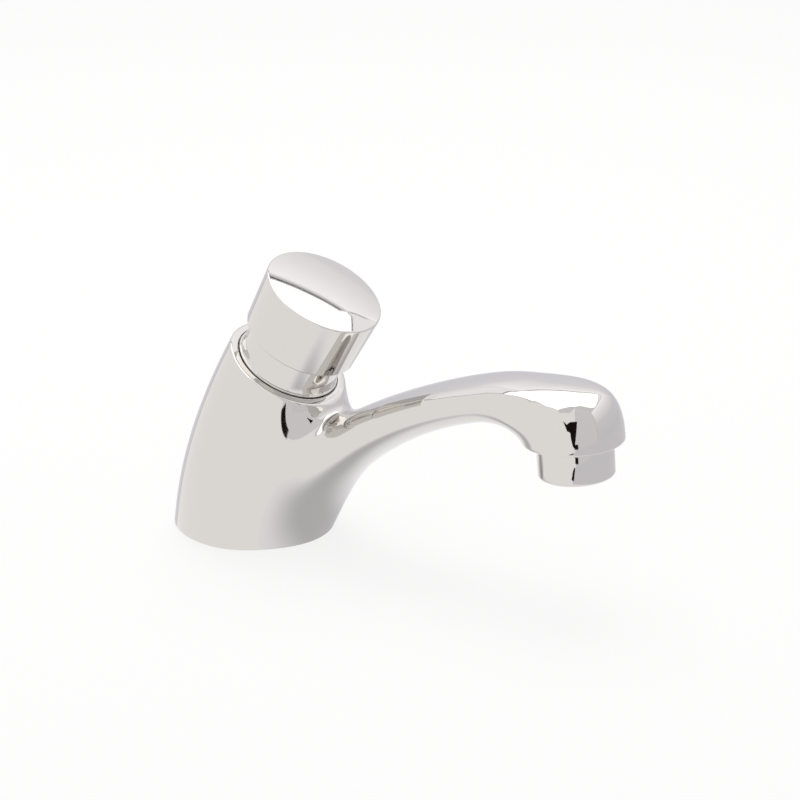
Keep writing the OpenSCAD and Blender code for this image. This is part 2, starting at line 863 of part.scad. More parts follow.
// cup behind the valve washer
module valve_holder() {
    color("#c9a24a")
    on_button_axis()
    rotate_extrude()
    polygon([
        [spindle_r + seat_gap, holder_low_h], [washer_r + 0.6, holder_low_h],
        [washer_r + 0.6, washer_low_h + 1], [washer_r + 0.1, washer_low_h + 1],
        [washer_r + 0.1, washer_low_h], [spindle_r + seat_gap, washer_low_h]
    ]);
}

// rubber disc that closes on the seat from the pressure side
module valve_washer() {
    color("#2b2b2b")
    on_button_axis()
    ring(washer_r, spindle_r + seat_gap, washer_low_h, seat_low_h - 0.05);
}

// hexagon nut under the valve
module valve_nut() {
    color("#c9a24a")
    on_button_axis()
    translate([0, 0, nut_low_h])
    difference() {
        cylinder(r = 4.8, h = nut_t, $fn = 6);
        translate([0, 0, -1])
        cylinder(r = spindle_r + seat_gap, h = nut_t + 2);
    }
}

tap_body();
base_seal();
neck_bezel();
cartridge_body();
cartridge_cap();
gland_seal();
guide_bush();
shoulder_seal();
nose_seal();
inlet_strainer();
return_spring();
aerator_ring();
aerator_washer();
aerator_insert();
flow_regulator();
aerator_screen();
push_button();
lock_nut();
spindle();
timing_piston();
lip_seal();
piston_clip();
valve_holder();
valve_washer();
valve_nut();
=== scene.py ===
"""Push timed tap: the looks of a self-closing basin tap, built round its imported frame.

Each chromed piece is a dense surface worked out with numpy in the frame's own sizes (written here in
millimetres and put into the mesh in metres). The casting is one skin: a bent cone, an arched tube and
an outlet head blended by one formula, with the same formula giving its normals.
"""

import json
import logging
import math
from dataclasses import dataclass, field
from enum import Enum
from typing import Optional

import bpy
import numpy as np
from mathutils import Matrix, Vector
from mathutils.geometry import delaunay_2d_cdt

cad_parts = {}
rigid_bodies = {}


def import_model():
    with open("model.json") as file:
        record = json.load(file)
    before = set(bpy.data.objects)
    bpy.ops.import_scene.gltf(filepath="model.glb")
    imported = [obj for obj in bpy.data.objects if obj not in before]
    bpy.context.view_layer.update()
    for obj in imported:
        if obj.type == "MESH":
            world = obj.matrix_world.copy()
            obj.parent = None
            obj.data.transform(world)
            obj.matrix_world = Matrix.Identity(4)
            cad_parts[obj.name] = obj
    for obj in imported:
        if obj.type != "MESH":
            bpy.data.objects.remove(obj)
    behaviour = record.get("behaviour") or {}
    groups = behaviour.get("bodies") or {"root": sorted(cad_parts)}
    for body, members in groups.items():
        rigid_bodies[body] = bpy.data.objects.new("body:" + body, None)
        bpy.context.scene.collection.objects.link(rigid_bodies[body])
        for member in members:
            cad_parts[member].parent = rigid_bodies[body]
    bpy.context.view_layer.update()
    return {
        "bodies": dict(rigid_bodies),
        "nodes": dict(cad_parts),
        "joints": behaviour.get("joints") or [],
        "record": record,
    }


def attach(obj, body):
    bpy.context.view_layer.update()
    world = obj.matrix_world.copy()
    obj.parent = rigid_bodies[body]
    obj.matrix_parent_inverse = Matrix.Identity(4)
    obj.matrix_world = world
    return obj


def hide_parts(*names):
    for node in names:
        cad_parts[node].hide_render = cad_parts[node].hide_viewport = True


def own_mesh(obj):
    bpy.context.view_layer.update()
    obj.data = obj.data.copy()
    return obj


LOG = logging.getLogger("push_timed_tap")
MM = 0.001
SHARP_ANGLE = math.radians(32)
SIDE = np.array([0.0, 1.0, 0.0])
# Stretch that the values of Blender's noise mostly keep to
NOISE_RANGE = (0.3, 0.7)
# Steps that halve a stretch down to far under a thousandth of a millimetre
HALVINGS = 34


class Slot(Enum):
    """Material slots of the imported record."""

    CHROME = "chrome"
    RUBBER = "seal_rubber"
    BRASS = "brass"
    ACETAL = "acetal"
    STAINLESS = "stainless"
    GRID = "grid_plastic"
    REGULATOR = "regulator_plastic"


class Body(Enum):
    """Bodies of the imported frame: what stands still, and what goes down with the button."""

    TAP = "tap"
    BUTTON = "button"


def linear(hex_colour: str) -> tuple[float, float, float, float]:
    """Turns an sRGB hex colour into linear RGBA.

    Args:
        hex_colour: Colour such as "#d6d3cf".

    Returns:
        Four linear values, with alpha 1.
    """
    srgb = np.array([int(hex_colour[i:i + 2], 16) for i in (1, 3, 5)]) / 255.0
    value = np.where(srgb <= 0.04045, srgb / 12.92, ((srgb + 0.055) / 1.055) ** 2.4)
    return (*value.tolist(), 1.0)


def add_node(tree: bpy.types.NodeTree, kind: str, settings: Optional[dict] = None,
             inputs: Optional[dict] = None) -> bpy.types.Node:
    """Adds one node with its settings, input values and links.

    Args:
        tree: Node tree that gets the node.
        kind: Blender's node type.
        settings: Attributes to set on the node.
        inputs: Socket name or number to a value, or to an output socket that is linked to it.

    Returns:
        The new node.
    """
    node = tree.nodes.new(kind)
    for name, value in (settings or {}).items():
        setattr(node, name, value)
    for name, value in (inputs or {}).items():
        if isinstance(value, bpy.types.NodeSocket):
            tree.links.new(value, node.inputs[name])
        else:
            node.inputs[name].default_value = value
    return node


@dataclass(frozen=True)
class Finish:
    """A material by what it is made of and how its surface was made.

    The surface has a fine unevenness: a noise of grain_mm drives roughness between its two values and
    lifts the surface by relief_mm.
    """

    name: str
    colour: str
    metallic: float
    roughness: tuple[float, float]
    grain_mm: float
    relief_mm: float

    def build(self) -> bpy.types.Material:
        """Makes the Blender material."""
        material = bpy.data.materials.new(self.name)
        material.use_nodes = True
        tree = material.node_tree
        shader = tree.nodes["Principled BSDF"]
        shader.inputs["Base Color"].default_value = linear(self.colour)
        shader.inputs["Metallic"].default_value = self.metallic
        place = add_node(tree, "ShaderNodeTexCoord")
        grain = add_node(tree, "ShaderNodeTexNoise", inputs={
            "Vector": place.outputs["Object"], "Scale": 1.0 / (self.grain_mm * MM), "Detail": 2.0})
        sheen = add_node(tree, "ShaderNodeMapRange", inputs={
            "Value": grain.outputs["Fac"], "From Min": NOISE_RANGE[0], "From Max": NOISE_RANGE[1],
            "To Min": self.roughness[0], "To Max": self.roughness[1]})
        relief = add_node(tree, "ShaderNodeBump", inputs={
            "Height": grain.outputs["Fac"], "Strength": 1.0, "Distance": self.relief_mm * MM})
        tree.links.new(sheen.outputs["Result"], shader.inputs["Roughness"])
        tree.links.new(relief.outputs["Normal"], shader.inputs["Normal"])
        return material


# Chrome plate polished to a mirror: neutral grey, with the long soft waves that buffing leaves
CHROME = Finish("polished_chrome_plate", "#d9d6d2", 1.0, (0.03, 0.05), 14.0, 0.006)
# Moulded nitrile rubber: nearly black, dull, with a fine skin
RUBBER = Finish("moulded_nitrile_rubber", "#232324", 0.0, (0.55, 0.7), 0.6, 0.01)
# Brass as the lathe leaves it: yellow, satin, with a fine unevenness
BRASS = Finish("turned_brass", "#c9a24a", 1.0, (0.18, 0.3), 0.5, 0.004)
# Moulded acetal: milky and slightly waxy
ACETAL = Finish("moulded_acetal", "#e7e4da", 0.0, (0.3, 0.42), 1.5, 0.004)
# Drawn stainless wire and bar: grey, satin
STAINLESS = Finish("drawn_stainless_steel", "#b8bcc0", 1.0, (0.16, 0.26), 0.8, 0.003)
# Moulded grid plastic: pale grey, satin
GRID = Finish("moulded_grid_plastic", "#d3d5d6", 0.0, (0.32, 0.45), 1.0, 0.004)
# Moulded metering plastic: green, satin
REGULATOR = Finish("moulded_regulator_plastic", "#3f7f5a", 0.0, (0.32, 0.45), 1.0, 0.004)


@dataclass(frozen=True)
class AxisFrame:
    """A local frame: origin in millimetres and three unit directions."""

    origin: np.ndarray
    x: np.ndarray
    y: np.ndarray
    z: np.ndarray

    @classmethod
    def leaning(cls, origin: tuple[float, float, float], degrees: float) -> "AxisFrame":
        """A frame whose z axis leans by some degrees from upright towards the spout."""
        t = math.radians(degrees)
        return cls(np.array(origin), np.array([math.cos(t), 0.0, -math.sin(t)]), SIDE,
                   np.array([math.sin(t), 0.0, math.cos(t)]))

    def place(self, local: np.ndarray) -> np.ndarray:
        """Local points to points of the part."""
        return self.origin + local @ np.stack([self.x, self.y, self.z])

    def measure(self, points: np.ndarray) -> np.ndarray:
        """Points of the part to local points."""
        return (points - self.origin) @ np.stack([self.x, self.y, self.z], axis=1)


def smooth_min(a: np.ndarray, b: np.ndarray, k: float) -> np.ndarray:
    """The lower of two fields, rounded by a cubic where they differ by less than k."""
    h = np.maximum(k - np.abs(a - b), 0.0) / k
    return np.minimum(a, b) - h ** 3 * k / 6.0


def smooth_max(a: np.ndarray, b: np.ndarray, k: float) -> np.ndarray:
    """The higher of two fields, rounded in the same way."""
    return -smooth_min(-a, -b, k)


def mix(a: float, b: float, t: np.ndarray) -> np.ndarray:
    """Goes from a to b as t goes from 0 to 1."""
    return a + (b - a) * t


def bend(a: float, b: float, c: float, t: np.ndarray) -> np.ndarray:
    """A parabola from a to c, drawn towards b."""
    return a * (1 - t) ** 2 + 2 * b * t * (1 - t) + c * t ** 2


@dataclass(frozen=True)
class TapSizes:
    """Sizes of the casting and of what sits on it, in millimetres and degrees.

    under, upper and waist give the spout's underside, upper side and half width: over the arch's line, on
    the way down, and at the foot. A fill is a low swell: its height, its place along and across, and how
    far it reaches along and across.
    """

    # Body: foot, rim, lean of the button's axis, bow of the walls half way up, rounding at the spout's root
    foot_back: float = 28.1
    foot_front: float = 22.8
    foot_side: float = 26.3
    rim_r: float = 20.0
    rim_x: float = 13.24
    rim_z: float = 58.33
    button_tilt: float = 28.6
    back_bow: float = -2.1
    front_bow: float = 7.5
    side_bow: float = 4.17
    root_round: float = 16.0
    root_top: float = 14.0
    # Spout
    arch_x: float = 88.0
    under: tuple[float, float, float] = (54.0, 41.4, 64.9)
    under_fall: float = 0.0215
    upper: tuple[float, float, float] = (68.16, 52.98, 95.2)
    upper_fall: float = 0.0084
    waist: tuple[float, float, float] = (13.3, 13.5, 13.22)
    waist_head: float = 12.14
    section_power: float = 2.2
    # Outlet head, and the swells where the spout runs into it
    outlet_x: float = 119.9
    outlet_z: float = 42.0
    outlet_tilt: float = 4.75
    head_r: float = 15.55
    head_h: float = 18.2
    head_power: float = 2.86
    head_draft: float = 1.4
    head_round: float = 7.88
    close_lead: float = 4.44
    close_round: float = 10.0
    crest_fill: tuple[float, float, float, float, float] = (0.327, 103.1, 0.0, 5.55, 4.95)
    shoulder_fill: tuple[float, float, float, float, float] = (0.856, 106.4, 13.5, 7.72, 6.16)
    fill_from: float = 52.0
    fill_over: float = 8.0
    # Outlet ring and nipple
    ring_r: float = 12.0
    ring_h: float = 10.9
    nipple_r: float = 10.9
    nipple_len: float = 5.5
    nipple_wall: float = 2.1
    outlet_chamber_h: float = 9.0
    # Button and neck
    button_h: float = 30.29
    button_len: float = 19.9
    button_r: float = 19.6
    button_low_r: float = 18.7
    crown: float = 1.29
    travel: float = 7.0
    neck_r: float = 16.3
    neck_foot_r: float = 17.05
    neck_gap: float = 0.35
    spigot_step: float = 1.65
    # Valve and its stepped bore, with depths below the rim
    spindle_r: float = 2.5
    cartridge_r: float = 12.9
    nose_r: float = 10.2
    valve_gap: float = 0.3
    recess_depth: float = 1.5
    spigot_depth: float = 14.0
    shoulder_depth: float = 17.0
    nose_depth: float = 27.0
    chamber_depth: float = 45.0
    # Foot: hollow, seal's groove with its radii past the hollow's, inlet and fixing stud
    hollow_r: float = 19.5
    hollow_h: float = 8.0
    groove: tuple[float, float] = (1.2, 3.4)
    groove_depth: float = 2.1
    inlet_x: float = -6.0
    inlet_r: float = 4.55
    inlet_len: float = 6.5
    inlet_step: float = 1.1
    stud_x: float = 11.0
    stud_r: float = 3.4
    stud_depth: float = 12.0

    @property
    def button_axis(self) -> AxisFrame:
        """Frame in the middle of the rim, along the button's axis."""
        return AxisFrame.leaning((self.rim_x, 0.0, self.rim_z), self.button_tilt)

    @property
    def outlet_axis(self) -> AxisFrame:
        """Frame in the middle of the head's flat face, along the outlet's axis."""
        mouth = AxisFrame.leaning((self.outlet_x, 0.0, self.outlet_z), -self.outlet_tilt)
        return AxisFrame.leaning(tuple(mouth.place(np.array([0.0, 0.0, self.ring_h]))), -self.outlet_tilt)

    @property
    def button_low_h(self) -> float:
        """Level of the button's lower end above the rim."""
        return self.button_h - self.button_len

    @property
    def recess_r(self) -> float:
        """Radius of the body's recess round the neck's foot."""
        return self.neck_foot_r + self.neck_gap

    @property
    def bore_r(self) -> float:
        """Radius of the bore that takes the neck's spigot."""
        return self.neck_foot_r - self.spigot_step

    @property
    def pivot_x(self) -> float:
        """Place of the line that the body's section planes turn about."""
        return self.rim_x + self.rim_z / math.tan(math.radians(self.button_tilt))

    @property
    def foot_mid_x(self) -> float:
        """Middle of the foot's outline, whose front the root's blend fills out by a sixth of its size."""
        return (self.foot_front + self.root_round / 6 - self.foot_back) / 2


@dataclass(frozen=True)
class CastingField:
    """Signed field of the casting: below zero inside, above zero outside, near a distance in mm.

    The body is an egg-shaped section carried round a bent axis, the spout a rounded section carried
    round an arch and straight on, the head a full dome. Each joint between them, and each edge against
    the rim, the foot and the head's flat face, is a cubic blend.
    """

    sizes: TapSizes
    rim_edge: float = 1.1
    foot_edge: float = 0.8
    face_edge: float = 1.5

    def body(self, p: np.ndarray) -> np.ndarray:
        """The bent cone: planes turn about a far line, and the section's radii change with height."""
        s = self.sizes
        a = np.clip(self.height_share(p), -0.3, 1.3)
        reach = mix(s.pivot_x, s.rim_z / math.sin(math.radians(s.button_tilt)), a)
        e = reach - np.hypot(s.pivot_x - p[..., 0], p[..., 2])
        back, front, side = self.body_radii(a)
        reach = np.where(e > 0, front, back)
        return (np.hypot(e / reach, p[..., 1] / side) - 1) * np.minimum(reach, side) * 0.97

    def height_share(self, p: np.ndarray) -> np.ndarray:
        """How far up the body points lie: 0 at the foot, 1 at the rim."""
        s = self.sizes
        return np.arctan2(p[..., 2], s.pivot_x - p[..., 0]) / math.radians(s.button_tilt)

    def body_radii(self, a: np.ndarray) -> tuple[np.ndarray, np.ndarray, np.ndarray]:
        """Back, front and side radius of the body's section at height a, 0 at the foot and 1 at the rim."""
        s = self.sizes
        bow = 4 * a * (1 - a)
        return (mix(s.foot_back, s.rim_r, a) + s.back_bow * bow,
                mix(s.foot_front, s.rim_r, a) + s.front_bow * bow,
                mix(s.foot_side, s.rim_r, a) + s.side_bow * bow)

    def spout_sizes(self, d: np.ndarray, t: np.ndarray) -> tuple[np.ndarray, np.ndarray, np.ndarray]:
        """Underside, upper side and half width: t goes down the arch to 1, d on past its line in mm."""
        s = self.sizes
        run = s.outlet_x - s.arch_x
        rise = [-4 * (v[1] - v[0]) / (math.pi * top) for v, top in (
            (s.under, s.under[0]), (s.upper, s.upper[0]), (s.waist, s.under[0]))]
        swell = s.waist_head - s.waist[0] - rise[2] * run
        return (bend(*s.under, t) + rise[0] * d - s.under_fall * d ** 2,
                bend(*s.upper, t) + rise[1] * d - s.upper_fall * d ** 2,
                bend(*s.waist, t) + rise[2] * d + swell * (d / run) ** 2)

    def spout(self, p: np.ndarray) -> np.ndarray:
        """The arched tube, closing softly inside the head."""
        s = self.sizes
        run = s.outlet_x - s.arch_x
        dx = p[..., 0] - s.arch_x
        turn = np.clip(np.arctan2(np.maximum(-dx, 0.0), np.maximum(p[..., 2], 1e-9)) * 2 / math.pi, 0, 1)
        rho = np.where(dx >= 0, p[..., 2], np.hypot(dx, p[..., 2]))
        low, top, wide = self.spout_sizes(np.clip(dx, 0, run + 0.4 * s.head_r), turn)
        half = (top - low) / 2
        q = (np.abs(p[..., 1]) / wide) ** s.section_power
        q = q + (np.abs(rho - (low + top) / 2) / half) ** s.section_power
        f = (q ** (1 / s.section_power) - 1) * np.minimum(wide, half)
        past = np.maximum(dx - run + s.close_lead, 0.0)
        return f + past ** 2 / (2 * s.close_round)

    def head(self, p: np.ndarray) -> np.ndarray:
        """The outlet head: a full dome on the outlet's axis, with a slight draft."""
        s = self.sizes
        local = s.outlet_axis.measure(p)
        h = local[..., 2]
        r = s.head_r - math.tan(math.radians(s.head_draft)) * np.clip(h, -6, s.head_h)
        q = (np.hypot(local[..., 0], local[..., 1]) / r) ** s.head_power
        q = q + (np.maximum(h, 0.0) / s.head_h) ** s.head_power
        return (q ** (1 / s.head_power) - 1) * np.minimum(r, s.head_h)

    def fill(self, p: np.ndarray) -> np.ndarray:
        """Low swells on the crest and both shoulders, where the spout runs into the head."""
        s = self.sizes
        rise = np.clip((p[..., 2] - s.fill_from) / s.fill_over, 0, 1)
        swell = np.zeros(p.shape[:-1])
        for height, x, y, along, across in (s.crest_fill, s.shoulder_fill):
            far = ((p[..., 0] - x) / along) ** 2 + ((np.abs(p[..., 1]) - y) / across) ** 2
            swell += height * np.exp(-far)
        return swell * rise ** 2 * (3 - 2 * rise)

    def skin(self, p: np.ndarray) -> np.ndarray:
        """The outer form before its rim, foot and flat face are cut."""
        s = self.sizes
        root = mix(s.root_round, s.root_top, np.clip(self.height_share(p), 0, 1) ** 2)
        joined = smooth_min(self.body(p), self.spout(p), root)
        return smooth_min(joined, self.head(p), s.head_round) - self.fill(p)

    def rim_cut(self, p: np.ndarray) -> np.ndarray:
        """The form cut by the rim's plane."""
        return smooth_max(self.skin(p), self.sizes.button_axis.measure(p)[..., 2], self.rim_edge)

    def foot_cut(self, p: np.ndarray) -> np.ndarray:
        """The form cut by the foot's plane."""
        return smooth_max(self.skin(p), -p[..., 2], self.foot_edge)

    def face_cut(self, p: np.ndarray) -> np.ndarray:
        """The form cut by the head's flat face."""
        return smooth_max(self.skin(p), -self.sizes.outlet_axis.measure(p)[..., 2], self.face_edge)


def slope(surface, p: np.ndarray, step: float = 0.01) -> np.ndarray:
    """Gradient of a field by central differences."""
    return np.stack([(surface(p + step * e) - surface(p - step * e)) / (2 * step) for e in np.eye(3)],
                    axis=-1)


def settle(surface, p: np.ndarray, rounds: int = 8) -> np.ndarray:
    """Draws points near a surface onto it, each step going down the gradient by the field's value.

    Args:
        surface: Field whose zero is the surface.
        p: Points near it, in mm.
        rounds: Number of steps.

    Returns:
        Points on the surface.
    """
    for _ in range(rounds):
        g = slope(surface, p)
        p = p - g * (surface(p) / np.maximum((g * g).sum(-1), 1e-6))[..., None]
    return p


def cast(surface, start: np.ndarray, way: np.ndarray, low: np.ndarray, high: np.ndarray) -> np.ndarray:
    """Goes from inner points outwards to a surface by halving the stretch that holds it.

    Args:
        surface: Field whose zero is the surface.
        start: Points to start from.
        way: Unit directions.
        low: Distances that lie inside.
        high: Distances that lie outside.

    Returns:
        Points on the surface.
    """
    low, high = np.broadcast_arrays(low, high)
    for _ in range(HALVINGS):
        middle = (low + high) / 2
        inside = surface(start + way * middle[..., None]) < 0
        low, high = np.where(inside, middle, low), np.where(inside, high, middle)
    return start + way * low[..., None]


class MeshSheet:
    """Gathers rows of points and the faces between them into one closed mesh."""

    def __init__(self) -> None:
        """Starts empty."""
        self.points: list[np.ndarray] = []
        self.normals: list[np.ndarray] = []
        self.faces: list[np.ndarray] = []
        self.count = 0

    def add(self, points: np.ndarray, normals: Optional[np.ndarray] = None) -> np.ndarray:
        """Adds points of any grid shape.

        Args:
            points: Points in mm, the last axis being x, y, z.
            normals: Unit normals of the same shape, or None where Blender works them out.

        Returns:
            The points' numbers, in the grid's shape.
        """
        shape = points.shape[:-1]
        ids = self.count + np.arange(int(np.prod(shape))).reshape(shape)
        self.points.append(points.reshape(-1, 3))
        given = np.zeros_like(points) if normals is None else normals
        self.normals.append(given.reshape(-1, 3))
        self.count += ids.size
        return ids

    def band(self, rows: np.ndarray, keep: Optional[np.ndarray] = None) -> None:
        """Joins successive closed rows by quads.

        Args:
            rows: Numbers of the points, one row after the other.
            keep: True for each quad that stays, or None for all.
        """
        turned_on = np.roll(rows, -1, axis=1)
        quads = np.stack([rows[:-1], turned_on[:-1], turned_on[1:], rows[1:]], axis=-1)
        self.faces.append(quads.reshape(-1, 4) if keep is None else quads[keep])

    def cap(self, row: np.ndarray, pole: np.ndarray, outward_first: bool) -> None:
        """Closes a row by triangles to one point."""
        tip = np.full_like(row, self.add(pole[None])[0])
        ahead = np.roll(row, -1)
        order = [row, ahead, tip] if outward_first else [ahead, row, tip]
        self.faces.append(np.stack(order, axis=-1))

    def plate(self, axis: AxisFrame, loops: list[tuple[np.ndarray, np.ndarray]], along: bool) -> None:
        """Closes a flat round outline, leaving its round holes open.

        Args:
            axis: Frame whose z is across the plate.
            loops: Numbers and places of the points of the outline, then of each hole.
            along: True where the faces look along the frame's z.
        """
        ids = np.concatenate([numbers for numbers, _ in loops])
        flat = np.concatenate([axis.measure(places)[:, :2] for _, places in loops])
        starts = np.cumsum([0] + [len(numbers) for numbers, _ in loops])
        edges = [(i, a + (i + 1 - a) % (b - a))
                 for a, b in zip(starts[:-1].tolist(), starts[1:].tolist()) for i in range(a, b)]
        _, _, faces, origin, _, _ = delaunay_2d_cdt([Vector(point) for point in flat], edges, [], 0, 1e-6)
        tris = np.array([[origin[corner][0] for corner in face] for face in faces])
        part = np.searchsorted(starts, tris, side="right") - 1
        in_hole = (part[:, 0] > 0) & (part[:, 0] == part[:, 1]) & (part[:, 0] == part[:, 2])
        tris = tris[~in_hole]
        first, second = flat[tris[:, 1]] - flat[tris[:, 0]], flat[tris[:, 2]] - flat[tris[:, 0]]
        wrong = (first[:, 0] * second[:, 1] > first[:, 1] * second[:, 0]) != along
        tris[wrong] = tris[wrong, ::-1]
        self.faces.append(ids[tris])

    def make(self, name: str) -> bpy.types.Object:
        """Puts the points and faces into a mesh object.

        Args:
            name: The piece's name.

        Returns:
            The object, linked to the scene, at the origin.
        """
        points = np.concatenate(self.points) * MM
        loops = np.concatenate([face.ravel() for face in self.faces])
        sizes = np.concatenate([np.full(len(face), face.shape[1]) for face in self.faces])
        mesh = bpy.data.meshes.new(name)
        mesh.vertices.add(len(points))
        mesh.vertices.foreach_set("co", points.astype(np.float32).ravel())
        mesh.loops.add(len(loops))
        mesh.loops.foreach_set("vertex_index", loops.astype(np.int32))
        mesh.polygons.add(len(sizes))
        mesh.polygons.foreach_set("loop_start", (np.cumsum(sizes) - sizes).astype(np.int32))
        mesh.update(calc_edges=True)
        mesh.validate()
        mesh.polygons.foreach_set("use_smooth", np.ones(len(sizes), dtype=bool))
        mesh.set_sharp_from_angle(angle=SHARP_ANGLE)
        normals = np.concatenate(self.normals)
        if np.any(normals):
            mesh.normals_split_custom_set_from_vertices(normals)
        piece = bpy.data.objects.new(name, mesh)
        bpy.context.scene.collection.objects.link(piece)
        return piece


def arc(middle: tuple[float, float], radius: float, start: float, end: float, steps: int) -> np.ndarray:
    """Points of a round stretch of a profile: middle plus radius at angles from start to end, degrees."""
    f = np.radians(np.linspace(start, end, steps + 1))
    return np.array(middle) + radius * np.stack([np.cos(f), np.sin(f)], axis=-1)


def turned(profile: np.ndarray, columns: int, axis: AxisFrame) -> np.ndarray:
    """Carries a profile of (radius, height) round an axis.

    Args:
        profile: Points of the profile, one per row.
        columns: Points per row.
        axis: Frame whose z is the axis.

    Returns:
        Grid of rows by columns by three, in mm.
    """
    f = 2 * math.pi * np.arange(columns) / columns
    r, h = profile[:, :1], profile[:, 1:]
    local = np.stack([r * np.cos(f), r * np.sin(f), h + 0 * f], axis=-1)
    return axis.place(local)


def turned_ring(name: str, profile: np.ndarray, columns: int, axis: AxisFrame) -> bpy.types.Object:
    """A turned piece with a hole: its profile is a loop, given anticlockwise in (radius, height)."""
    sheet = MeshSheet()
    rows = sheet.add(turned(profile, columns, axis))
    sheet.band(np.concatenate([rows, rows[:1]]))
    return sheet.make(name)


@dataclass
class Casting:
    """The cast and plated body with spout, head and outlet nipple, as one closed mesh.

    The body's rows leave a window for the spout. Rows below and above it are given by their share of the
    body's height. The spout's rings fan round the arch, run on upright and turn round the elbow.
    """

    sizes: TapSizes
    columns: int = 256
    hole_columns: int = 64
    half_window: int = 40
    window: tuple[float, float] = (0.05, 0.972)
    foot_share: float = 0.012
    foot_rows: int = 4
    rim_shares: tuple[float, float] = (0.977, 0.9815)
    ring_reach: float = 34.0
    bridge_levels: int = 5
    fan: int = 56
    run: int = 10
    elbow: int = 76
    elbow_x: float = 97.0
    elbow_inner: float = 10.5
    elbow_drop: float = 24.0
    fan_low: float = 72.0
    fan_top: float = 47.5
    form: CastingField = field(init=False)

    def __post_init__(self) -> None:
        """Sets up the field."""
        self.form = CastingField(self.sizes)

    def skin_rows(self, sheet: MeshSheet, surface, points: np.ndarray) -> np.ndarray:
        """Adds points of a surface with the surface's own normals."""
        g = slope(surface, points)
        return sheet.add(points, g / np.linalg.norm(g, axis=-1, keepdims=True))

    def body_points(self, a: np.ndarray) -> np.ndarray:
        """Rows of the body, cast outwards from its bent axis at the heights a."""
        s = self.sizes
        tilt = math.radians(s.button_tilt)
        th = a[:, None] * tilt
        reach = mix(s.pivot_x, s.rim_z / math.sin(tilt), a)[:, None]
        f = 2 * math.pi * np.arange(self.columns)[None] / self.columns
        zero = 0 * th * f
        start = np.stack([s.pivot_x - reach * np.cos(th) + zero, zero, reach * np.sin(th) + zero], axis=-1)
        way = np.stack([np.cos(f) * np.cos(th), np.sin(f) + zero, -np.cos(f) * np.sin(th)], axis=-1)
        back, front, side = [v[:, None] for v in self.form.body_radii(a)]
        guess = 1 / np.hypot(np.cos(f) / np.where(np.cos(f) > 0, front, back), np.sin(f) / side)
        return cast(self.form.skin, start, way, 0.5 * guess, guess * mix(1.6, 1.13, a)[:, None])

    def rings(self, low: np.ndarray, top: np.ndarray) -> np.ndarray:
        """Closed rings of the skin in the planes through pairs of points of the middle plane.

        Args:
            low: Points on the underside.
            top: Points on the upper side.

        Returns:
            Grid of rings by columns by three, each ring starting at its underside.
        """
        middle = ((low + top) / 2)[:, None]
        up = (top - low) / np.linalg.norm(top - low, axis=-1, keepdims=True)
        f = (2 * math.pi * np.arange(self.columns) / self.columns)[None, :, None]
        way = -np.cos(f) * up[:, None] + np.sin(f) * SIDE
        start = np.broadcast_to(middle, way.shape)
        grid = way.shape[:2]
        return cast(self.form.skin, start, way, np.zeros(grid), np.full(grid, self.ring_reach))

    def spout_rings(self) -> np.ndarray:
        """Rings down the spout: planes that fan round the arch, upright planes, then round the elbow."""
        s = self.sizes
        share = 1 - np.arange(self.fan) / self.fan
        ends = []
        for angle, part in ((self.fan_low, 0), (self.fan_top, 1)):
            turn = share * angle
            rho = self.form.spout_sizes(0 * turn, turn / 90)[part]
            t = np.radians(turn)
            ends.append(np.stack([s.arch_x - rho * np.sin(t), 0 * t, rho * np.cos(t)], axis=-1))
        d = (self.elbow_x - s.arch_x) * np.arange(self.run) / self.run
        for part in (0, 1):
            z = self.form.spout_sizes(d, 0 * d)[part]
            ends[part] = np.concatenate([ends[part], np.stack([s.arch_x + d, 0 * d, z], axis=-1)])
        straight = self.rings(ends[0], ends[1])
        return np.concatenate([straight, self.elbow_rings()])

    def elbow_rings(self) -> np.ndarray:
        """Rings that turn about a line under the spout, from upright to the head's lower edge."""
        s = self.sizes
        axis = s.outlet_axis
        along = (self.elbow_x - axis.origin[0]) / axis.x[0]
        pivot = axis.place(np.array([along, 0.0, self.form.face_edge]))
        psi = np.radians(np.linspace(90.0, s.outlet_tilt, self.elbow))
        way = np.stack([np.cos(psi), 0 * psi, np.sin(psi)], axis=-1)
        inner = pivot + way * mix(self.elbow_inner, -along, np.linspace(0, 1, self.elbow))[:, None]
        ones = np.ones(self.elbow)
        low = cast(self.form.skin, inner, -way, 0 * ones, self.elbow_drop * ones)
        top = cast(self.form.skin, inner, way, 0 * ones, self.ring_reach * ones)
        return self.rings(low, top)

    def bridge(self, first: np.ndarray, last: np.ndarray) -> np.ndarray:
        """Rows between two rows of the skin: each new row lies half way and is drawn onto the skin."""
        rows = np.stack([first, last])
        for _ in range(self.bridge_levels):
            between = settle(self.form.skin, (rows[:-1] + rows[1:]) / 2)
            mixed = np.empty((2 * len(rows) - 1, *rows.shape[1:]))
            mixed[0::2], mixed[1::2] = rows, between
            rows = mixed
        return rows[1:-1]

    def inward(self, axis: AxisFrame, row: np.ndarray) -> np.ndarray:
        """Unit directions from a row's points towards an axis, square to it."""
        flat = axis.measure(row) * np.array([-1.0, -1.0, 0.0])
        return (flat / np.linalg.norm(flat, axis=-1, keepdims=True)) @ np.stack([axis.x, axis.y, axis.z])

    def edge_rows(self, surface, row: np.ndarray, inward: np.ndarray, out: np.ndarray, size: float,
                  steps: int = 8) -> np.ndarray:
        """Rows round an edge: a quarter turn from a wall to a cut face, drawn onto the cut form."""
        t = np.radians(np.linspace(0, 90, steps + 1))[1:, None, None]
        guess = row + size * (1 - np.cos(t)) * inward + size * np.sin(t) * out
        return settle(surface, guess)

